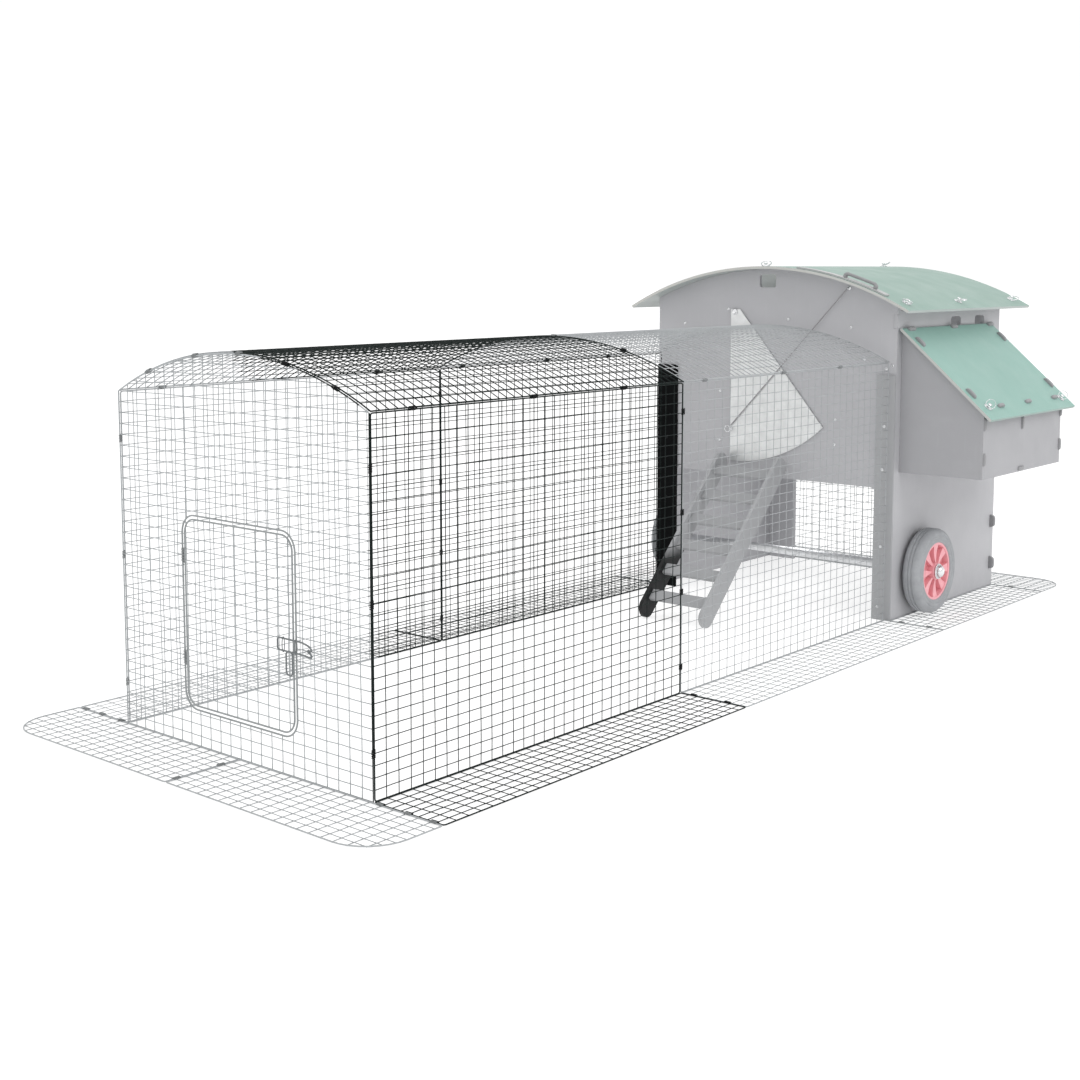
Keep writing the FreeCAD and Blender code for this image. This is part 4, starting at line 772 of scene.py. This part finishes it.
flat_mesh("underpass_back_wires", HR, (-327.5, 2817.4, 4.4), X, Z, -Y, 655, 408, frange(0, 655, 19), frange(0, 408, 16), PALE_T, ["underpass_back_mesh"], "pale_mesh")

# clips: short coils round the border wires, and staples on the skirts
t = Tubes()


def clip_tone(p):
    """Black clips on the first section's right side and on the left wall's rear; the others are paler."""
    return 0 if (p[0] > 90 and 0 < p[1] < SEC + 12) or (p[0] < -300 and p[1] > 772 and p[2] > 30) else 1


def coil(c, d, ln, r=3.5, turns=5, rw=1.3):
    c, d = np.asarray(c, float), np.asarray(d, float)
    d = d / np.linalg.norm(d)
    u = np.cross(d, (0.3, 0.5, 0.8))
    u /= np.linalg.norm(u)
    w = np.cross(d, u)
    n = turns * 9
    t.add([c + d * (ln * (i / n - 0.5)) + r * (math.cos(2 * math.pi * i / 9) * u + math.sin(2 * math.pi * i / 9) * w) for i in range(n + 1)], rw, 5, test=clip_tone)


for sx in (-1, 1):
    for zz in (100.0, 400.0, 670.0):
        coil((sx * 415.6, 3.8, zz), Z, 18)
    for zz in (68.0, 258.0, 458.0, 708.0):
        coil((sx * 415.4, SEC, zz), Z, 15, 3.9)
    for yy in (120.0, 490.0, 810.0, 1140.0, 1510.0, 1810.0):
        coil((sx * 415.6, yy, EAVE + 0.2), Y, 18, 3.8)
for xx in (-300.0, -130.0, 20.0, 170.0, 320.0):
    a = math.asin(xx / RR)
    coil((RR * math.sin(a), 3.6, RC + RR * math.cos(a) - 0.5), (math.cos(a), 0, -math.sin(a)), 18, 3.8)
for xx in (-230.0, 0.0, 230.0):
    a = math.asin(xx / RR)
    coil(((RR + 1.4) * math.sin(a), SEC, RC + (RR + 1.4) * math.cos(a)), (math.cos(a), 0, -math.sin(a)), 16, 3.9)
sc = [(-6, -SW + 20), (-6, -60), (INX + 12, -7), (INX + 90, -7), (INX + 160, -7), (-INX - 30, -7), (-INX - 108, -7), (-INX - 176, -7),
      (INX + 30, SEC - 7), (INX + 130, SEC - 7), (-INX - 48, SEC - 7), (-INX - 148, SEC - 7),
      (HX + 30.6, HF - 13), (HX + 120.6, HF - 13), (-HX - 48.6, HF - 13), (-HX - 138.6, HF - 13), (HX + 60.6, HB - 7), (-HX - 78.6, HB - 7)]
for n_, (xx, yy) in enumerate(sc):
    lx, ly = (12.0, 18.0) if n_ < 2 else (18.0, 14.0)
    along = Y if n_ < 2 else X
    across = X if n_ < 2 else Y
    c = np.array([xx + lx / 2, yy + ly / 2, 0.0])
    for q in (-7.0, -3.5, 0.0, 3.5, 7.0):
        pts = []
        for i in range(9):
            a = math.pi * i / 8
            pts.append(c + along * q + across * (5.4 * math.cos(a)) + Z * (2.0 + 3.4 * math.sin(a)))
        t.add(pts, 1.25, 5, test=clip_tone)
t.make("mesh_clip_coils", [M["clip_black"], M["clip_pale"]], HR, ["mesh_clips"], "clip_black")


# ------------------------------------------------------------------ plates that stay, with eased edges
def finish_node(node, mat, width=0.8, segments=2, shade=True):
    o = frame["nodes"][node]
    o.data.materials.clear()
    o.data.materials.append(M[mat])
    if width:
        b = o.modifiers.new("eased edges", "BEVEL")
        b.width, b.segments, b.limit_method, b.angle_limit = width / 1000, segments, "ANGLE", math.radians(40)
        b.use_clamp_overlap = True
        b.harden_normals = False
    return o


for node, mat, w in (("house_front_panel", "grey_plastic", 0.9), ("house_back_panel", "grey_plastic", 0.9), ("house_left_panel", "grey_plastic", 0.9),
                     ("house_right_panel", "grey_plastic", 0.9), ("left_corner_post", "black_plastic", 1.0), ("right_corner_post", "post_plastic", 1.0),
                     ("house_floor", "inner_plastic", 0.8), ("floor_bearers", "inner_plastic", 0.8), ("perch_bars", "perch_wood", 0.8),
                     ("house_roof", "roof_green", 1.0), ("roof_edge_strip", "handle_plastic", 0.8), ("nest_box_near_side", "nest_plastic_painted_shade", 0.9),
                     ("nest_box_far_side", "nest_plastic_painted_shade", 0.9), ("nest_box_front_panel", "nest_plastic_painted_shade", 0.9), ("nest_box_floor", "inner_plastic", 0.8),
                     ("nest_lid", "lid_green", 1.0), ("ramp_left_board", "board", 1.2), ("ramp_right_board", "post_plastic", 1.2),
                     ("ramp_rungs", "rung_plastic", 1.5), ("pop_door", "shutter_sheet", 0.25), ("wheel_axle", "galvanised", 0.8)):
    finish_node(node, mat, w)

# ------------------------------------------------------------------ knobs: dished washer, stud and a split ring
ROOF_R, ROOF_C = 1042.0, 22.0
LA = math.radians(41.4)
LU, LN = np.array([math.cos(LA), 0, -math.sin(LA)]), np.array([math.sin(LA), 0, math.cos(LA)])


def on_roof(x, y):
    a = math.asin(x / ROOF_R)
    return np.array([ROOF_R * math.sin(a), y, ROOF_C + ROOF_R * math.cos(a)]), np.array([math.sin(a), 0, math.cos(a)])


def on_lid(u, v, w=8.0):
    return np.array([437.0, 2120.0, 876.0]) + LU * u + Y * v + LN * w


def knob(s, base, nrm, heading, tilt, ring_r=15.5, face=None):
    nrm = np.asarray(nrm, float)
    prof = [(0.01, 0.0), (12.5, 0.0), (13.0, 0.6), (12.4, 1.4), (9.0, 2.2), (7.0, 2.6), (5.4, 3.4), (4.6, 5.5), (4.6, 8.2), (6.2, 8.8), (6.6, 10.2), (5.4, 11.6), (3.0, 12.4), (0.01, 12.6)]
    v, f = lathe(prof, base, nrm, (0.2, 0.9, 0.1), 24, False)
    s.add(v, f)
    ref = np.array([math.cos(heading), math.sin(heading), 0.0])
    e = ref - nrm * (ref @ nrm)
    e /= np.linalg.norm(e)
    h = np.cross(nrm, e)
    # the ring goes round the stud and lies over to one side
    up = e * math.cos(tilt) + nrm * math.sin(tilt)
    if face is not None:
        face = np.asarray(face, float)
        up = nrm - face * (nrm @ face)
        up /= np.linalg.norm(up)
        h = np.cross(face, up)
    c = base + nrm * 4.2 + up * (ring_r - 6.0)
    tt = Tubes()
    for off in (-0.75, 0.75):
        ax = np.cross(up, h)
        tt.add([c + ax * off + up * (ring_r * math.cos(a)) + h * (ring_r * math.sin(a)) for a in np.linspace(0, 2 * math.pi, 37)[:-1]], 1.0, 8, closed=True)
    s.tubes(tt)


s = Soup()
ry0 = HF - 63.0
for (x, y), hd, ti in zip([(-14, ry0 + 46), (-14, ry0 + 808), (462, ry0 + 60), (462, ry0 + 400), (462, ry0 + 788), (-462, ry0 + 60), (-462, ry0 + 400), (-462, ry0 + 788)],
                          (-0.8, 0.3, -1.0, 0.2, 0.9, 2.4, 3.4, 4.0), (0.5, 0.45, 0.42, 0.5, 0.4, 0.45, 0.5, 0.4)):
    b, n = on_roof(x, y)
    knob(s, b + n * 0.1, n, hd, ti)
sharp(s.make("roof_ring_knobs", [M["bright_steel"]], "roof", ["roof_turn_knobs"], "bright_steel"))
for nm, u, v, hd, fc in (("near", 338, 52, -1.35, (0.41, -0.907, 0.095)), ("far", 346, 566, -0.4, (0.37, -0.926, 0.08))):
    s = Soup()
    knob(s, on_lid(u, v, 8.3), LN, hd, 0.28, 13.5, fc)
    sharp(s.make("lid_ring_knob_" + nm, [M["bright_steel"]], "nest_lid_%s_knob" % nm, ["nest_lid_%s_knob" % nm], "bright_steel"))

# lid tabs and panel pegs: moulded ears
s = Soup()
for u, v, du, dv in ((2, 32, 16, 38), (2, 313, 16, 38), (2, 574, 16, 38), (44, 21, 38, 12), (262, 21, 38, 12), (48, 579, 38, 12), (262, 579, 38, 12),
                     (336, 114, 13, 36), (336, 307, 13, 36), (336, 506, 13, 36)):
    if dv > du:
        v_, f_ = fin(on_lid(u, v, 8.1), Y, LU, LN, dv, 9.0, du * 0.8)
    else:
        v_, f_ = fin(on_lid(u, v, 8.1), LU, Y, LN, du, 9.0, dv)
    s.add(v_, f_)
sharp(s.make("lid_ears", [M["dark_grey_plastic"]], "nest_lid", ["nest_lid_tabs"], "dark_grey_plastic"))
s = Soup()
for sx in (-1, 1):
    for zz in (60.6, 200.6, 480.6, 760.6):
        v_, f_ = fin((sx * 434.0, 2791.8, zz), Z, Y, X * sx, 39.8, 15.8, 11.4)
        s.add(v_, f_)
for v, zz, dy, dz in ((0.5, 40, 11, 36), (0.5, 142, 11, 36), (548.5, 40, 11, 36), (548.5, 146, 11, 36), (263, 128, 11, 38), (247, 4, 38, 11)):
    o = (698.0, 2142.0 + v, 449.0 + zz)
    if dz > dy:
        v_, f_ = fin(o, Z, Y, X, dz, 6.1, dy, 1.4)
    else:
        v_, f_ = fin(o, Y, Z, X, dy, 6.1, dz, 1.4)
    s.add(v_, f_)
sharp(s.make("locking_ears", [M["dark_grey_plastic"]], HR, ["panel_pegs"], "dark_grey_plastic"))

# pan-head screws, each with a socket
s = Soup()
prof = [(5.0, 0.0), (5.0, 0.7), (4.5, 1.5), (3.4, 2.0), (2.3, 2.15), (1.7, 2.1), (1.6, 1.0), (0.01, 0.9)]
for x, z in ((-161, 928), (-190, 664), (-190, 505), (231, 597), (327, 786), (421, 770), (401, 760), (231, 520), (60, 900), (-40, 760), (280, 880), (-330, 880)):
    s.add(*lathe(prof, (x, HF, z), -Y, Z, 18, False))
for x, z in ((401, 588), (398, 458), (398, 224), (392, 40), (-395, 700), (-395, 500), (-395, 300), (-395, 100)):
    s.add(*lathe(prof, (x, HF - 6.0, z), -Y, Z, 18, False))
sharp(s.make("pan_screws", [M["screw_steel"]], HR, ["panel_screws"], "bright_steel"))

# shutter pivot bolt and ring, cord eyelet
s = Soup()
s.add(*lathe([(4.0, 0), (4.0, 5.0), (10.0, 5.4), (10.0, 6.4), (9.0, 7.8), (6.5, 8.8), (3.0, 9.2), (0.01, 9.3)], (-134.5, 2112.0, 920.0), -Y, Z, 28, False))
sharp(s.make("shutter_pivot", [M["bright_steel"]], HR, ["pop_door_pivot_bolt"], "bright_steel"))
s = Soup()
s.add(*lathe([(4.6, 0.1), (4.6, 1.2), (3.0, 2.0), (3.0, 6.0), (4.4, 6.8), (4.4, 8.2), (3.0, 9.2), (0.01, 9.5)], (-142.0, 2106.9, 545.0), -Y, Z, 24, False))
tt = Tubes()
tt.add([(-152 + 10 * math.cos(a), 2099.2, 545 + 10 * math.sin(a)) for a in np.linspace(0, 2 * math.pi, 33)[:-1]], 1.5, 8, closed=True)
s.tubes(tt)
sharp(s.make("shutter_ring", [M["bright_steel"]], "pop_door", ["pop_door_cord_ring"], "bright_steel"))

A_, B_ = np.array([-143.0, 2103.5, 556.0]), np.array([272.0, 2103.5, 1000.0])
dr = (B_ - A_) / np.linalg.norm(B_ - A_)
s = Soup()
tt = Tubes()
side_v = np.cross(dr, Y)
c = B_ - dr * 1.5
tt.add([c + Y * (3.1 * math.cos(a)) + side_v * (3.1 * math.sin(a)) for a in np.linspace(0, 2 * math.pi, 25)[:-1]], 1.1, 8, closed=True)
s.tubes(tt)
s.add(*lathe([(6.4, 0.2), (6.4, 1.4), (4.0, 2.2), (2.2, 3.2), (2.0, 5.6), (0.01, 5.7)], (c[0], 2112.0, c[2]), -Y, Z, 24, False))
sharp(s.make("cord_eyelet", [M["bright_steel"]], HR, ["pull_cord_eyelet"], "bright_steel"))

# the pull cord, tight from the shutter's ring to the eyelet: its own spline first, then a round braid along it
cu = bpy.data.curves.new("cord_line", "CURVE")
cu.dimensions = "3D"
sp = cu.splines.new("NURBS")
route = [A_, A_ + dr * 18, B_ - dr * 18, B_]
sp.points.add(len(route) - 1)
for p_, q_ in zip(sp.points, route):
    p_.co = (*D(*q_), 1)
sp.order_u = 3
sp.use_endpoint_u = True
cu.resolution_u = 24
tmp = bpy.data.objects.new("cord_line", cu)
bpy.context.scene.collection.objects.link(tmp)
bpy.context.view_layer.update()
em = bpy.data.meshes.new_from_object(tmp.evaluated_get(bpy.context.evaluated_depsgraph_get()))
line = [tuple(v.co) for v in em.vertices]
bpy.data.objects.remove(tmp)
t = Tubes()
P = np.array(line) * 1000 - SHIFT
t.add(P, 1.5, 10, taper=[1.0 - 0.05 * (i % 2) for i in range(len(P))])
cord = t.make("pull_cord", [M["cord"]], HR, (), "cord")
cord.parent = None
cord.matrix_world = Matrix.Identity(4)
del cord["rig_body"]
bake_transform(cord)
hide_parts("pop_door_pull_cord")

# ------------------------------------------------------------------ roof handle: a bowed grip on two feet
hb, hn = on_roof(330.0, ry0 + 19.0)
ht = np.array([hn[2], 0, -hn[0]])
hb = hb + hn * 5.5
t = Tubes()
pts = []
for q in np.linspace(-1, 1, 41):
    k = min(1.0, (1 - abs(q)) / 0.20)
    pts.append(hb + ht * (54.0 * math.copysign(min(1, abs(q) * 1.04) ** 0.9, q)) + hn * (3 + 8.0 * math.sin(k * math.pi / 2) + 0.8 * (1 - q * q)))
t.add(pts, 5.4, 12, taper=[1.2 - 0.3 * min(1, (1 - abs(q)) / 0.3) for q in np.linspace(-1, 1, 41)])
s = Soup()
s.tubes(t)
for q in (-54.0, 54.0):
    s.add(*lathe([(7.0, 0.2), (7.0, 1.8), (6.0, 4.0), (4.9, 7.0), (0.01, 7.2)], hb + ht * (q * 0.98), hn, Y, 24, False))
sharp(s.make("roof_grip", [M["grip_plastic"]], "roof", ["roof_lift_handle"], "dark_grey_plastic"))

# ------------------------------------------------------------------ wheels
WY, WZ = 2283.0, 135.5
for side, sx in (("left", -1), ("right", 1)):
    ax = X * sx
    o = np.array([sx * 442.0, WY, WZ])
    prof = [(88.1, 3.5), (92, 0.9), (96, 0.4), (98, 1.6), (100, 1.6), (102, 0.2), (108, 0.0), (110, 1.4), (112, 1.4), (114, 0.1), (119, 1.4), (124, 4.6), (128, 9.5), (129.6, 14),
            (130, 18), (130, 21), (127.6, 22), (127.6, 25), (130, 26), (130, 32), (127.6, 33), (127.6, 36), (130, 37), (130, 40), (129.6, 44), (128, 48.5), (124, 53.4),
            (119, 56.6), (114, 57.9), (112, 56.6), (110, 56.6), (108, 58.0), (102, 57.8), (100, 56.4), (98, 56.4), (96, 57.6), (92, 57.1), (88.1, 54.5)]
    s = Soup()
    s.add(*lathe(prof, o, ax, Z, 96, True))
    sharp(s.make("%s_tyre_ring" % side, [M["tyre_grey"]], "%s_wheel" % side, ["%s_tyre" % side], "tyre_grey"), 50)
    s = Soup()
    rim = [(87.9, 4.6), (84, 4.2), (81, 5.2), (80.2, 8), (79.6, 24), (72, 25.5), (30, 26.5), (25.5, 24), (25.5, 2.5), (24, 1.2), (13.2, 1.2), (13.2, 56.8), (24, 56.8), (26, 55.5), (26.5, 50),
           (28, 36), (34, 33.4), (72, 33), (79.2, 34.5), (80.2, 50), (81, 53.0), (84, 54.0), (87.9, 53.6)]
    s.add(*lathe(rim, o, ax, Z, 96, True))
    for i in range(8):
        a0 = 2 * math.pi * i / 8
        for lo, hi, base in ((33.2, 51.0, 1), (8.0, 26.0, -1)):
            rr = np.linspace(25.0, 80.5, 12)
            V_ = []
            for r in rr:
                q = (r - 25.0) / 55.5
                a = a0
                th = 5.0 + 23.0 * q
                dv_ = math.cos(a) * Y + math.sin(a) * Z
                nv = -math.sin(a) * Y + math.cos(a) * Z
                h1 = hi - 2.5 * math.sin(math.pi * q) if base > 0 else hi
                h0 = lo if base > 0 else lo + 6.0 * math.sin(math.pi * q)
                for tt_, hh_ in ((-th / 2, h0), (th / 2, h0), (th / 2, h1), (-th / 2, h1)):
                    V_.append(o + dv_ * r + nv * tt_ + ax * hh_)
            F_ = [(k * 4 + j, k * 4 + (j + 1) % 4, (k + 1) * 4 + (j + 1) % 4, (k + 1) * 4 + j) for k in range(11) for j in range(4)]
            F_ += [(3, 2, 1, 0), (44, 45, 46, 47)]
            s.add(V_, F_)
    hub = sharp(s.make("%s_hub_fins" % side, [M["hub_red"]], "%s_wheel" % side, ["%s_wheel_hub" % side], "hub_red"), 40)
s = Soup()
for sx in (-1, 1):
    o = np.array([sx * 500.8, WY, WZ])
    s.add(*lathe([(13.1, 0.0), (23.2, 0.0), (23.8, 0.8), (23.8, 2.4), (22.6, 3.4), (18.5, 4.0), (17.8, 4.6), (17.8, 9.8), (17.0, 11.5), (14.4, 14.6), (10.5, 16.8), (5.5, 17.8), (0.01, 18.0)], o, X * sx, Z, 40, False))
    tt = Tubes()
    tt.add([o + X * sx * 4.9 + Y * (20.6 * math.cos(a)) + Z * (20.6 * math.sin(a)) for a in np.linspace(0, 2 * math.pi, 41)[:-1]], 1.3, 8, closed=True)
    s.tubes(tt)
sharp(s.make("axle_end_nuts", [M["bright_steel"]], HR, ["wheel_nuts"], "bright_steel"))

# ------------------------------------------------------------------ floor, light, camera
me = bpy.data.meshes.new("floor")
me.from_pydata([(-60, -60, -0.0006), (60, -60, -0.0006), (60, 60, -0.0006), (-60, 60, -0.0006)], [], [(0, 1, 2, 3)])
floor = bpy.data.objects.new("floor", me)
bpy.context.scene.collection.objects.link(floor)
g = NT("studio_floor")
g.link(g.mix(g.noise(1.2, 3.0), (0.44, 0.44, 0.44, 1), (0.47, 0.47, 0.47, 1)), g.b.inputs["Base Color"])
g.b.inputs["Roughness"].default_value = 0.95
g.b.inputs["Emission Color"].default_value = (1, 1, 1, 1)
g.b.inputs["Emission Strength"].default_value = 0.68
g.b.inputs["Specular IOR Level"].default_value = 0.1
me.materials.append(g.m)

world = bpy.data.worlds.new("studio")
world.use_nodes = True
world.node_tree.nodes["Background"].inputs["Color"].default_value = (1, 1, 1, 1)
world.node_tree.nodes["Background"].inputs["Strength"].default_value = 1.02
bpy.context.scene.world = world


def area(name, loc, target, size, power):
    la_ = bpy.data.lights.new(name, "AREA")
    la_.shape, la_.size, la_.energy = "SQUARE", size, power
    o_ = bpy.data.objects.new(name, la_)
    o_.location = loc
    o_.rotation_mode = "QUATERNION"
    o_.rotation_quaternion = (Vector(target) - Vector(loc)).to_track_quat("-Z", "Y")
    bpy.context.scene.collection.objects.link(o_)
    return o_


area("key", (5.5, 0.6, 5.0), (0.2, 0.6, 0.3), 4.0, 108)
area("top", (-0.5, 0.2, 6.0), (0, 0, 0), 6.0, 90)

# a little light inside the house, as through its open rear
ip = bpy.data.lights.new("inside", "POINT")
ip.energy, ip.shadow_soft_size = 3.0, 0.12
io = bpy.data.objects.new("inside", ip)
io.location = D(-60.0, 2480.0, 700.0)
bpy.context.scene.collection.objects.link(io)

up_ = bpy.data.lights.new("under_floor", "POINT")
up_.energy, up_.shadow_soft_size = 0.9, 0.10
uo = bpy.data.objects.new("under_floor", up_)
uo.location = D(-60.0, 2360.0, 260.0)
bpy.context.scene.collection.objects.link(uo)

cam = bpy.data.cameras.new("camera")
cam.sensor_width = 36.0
cam.lens = 1539.32 / 1080 * 36
cam.shift_x = (540 - 539.56) / 1080
cam.shift_y = -0.10
cam.clip_start, cam.clip_end = 0.05, 200
co = bpy.data.objects.new("camera", cam)
yaw, pitch = -0.7088, 0.1056
co.location = D(2595.4, -2033.1, 1055.9)
fw = Vector((math.sin(yaw) * math.cos(pitch), math.cos(yaw) * math.cos(pitch), -math.sin(pitch)))
co.rotation_mode = "QUATERNION"
co.rotation_quaternion = fw.to_track_quat("-Z", "Y")
bpy.context.scene.collection.objects.link(co)
bpy.context.scene.camera = co
bpy.context.scene.view_settings.view_transform = "Standard"
bpy.context.scene.view_settings.look = "None"
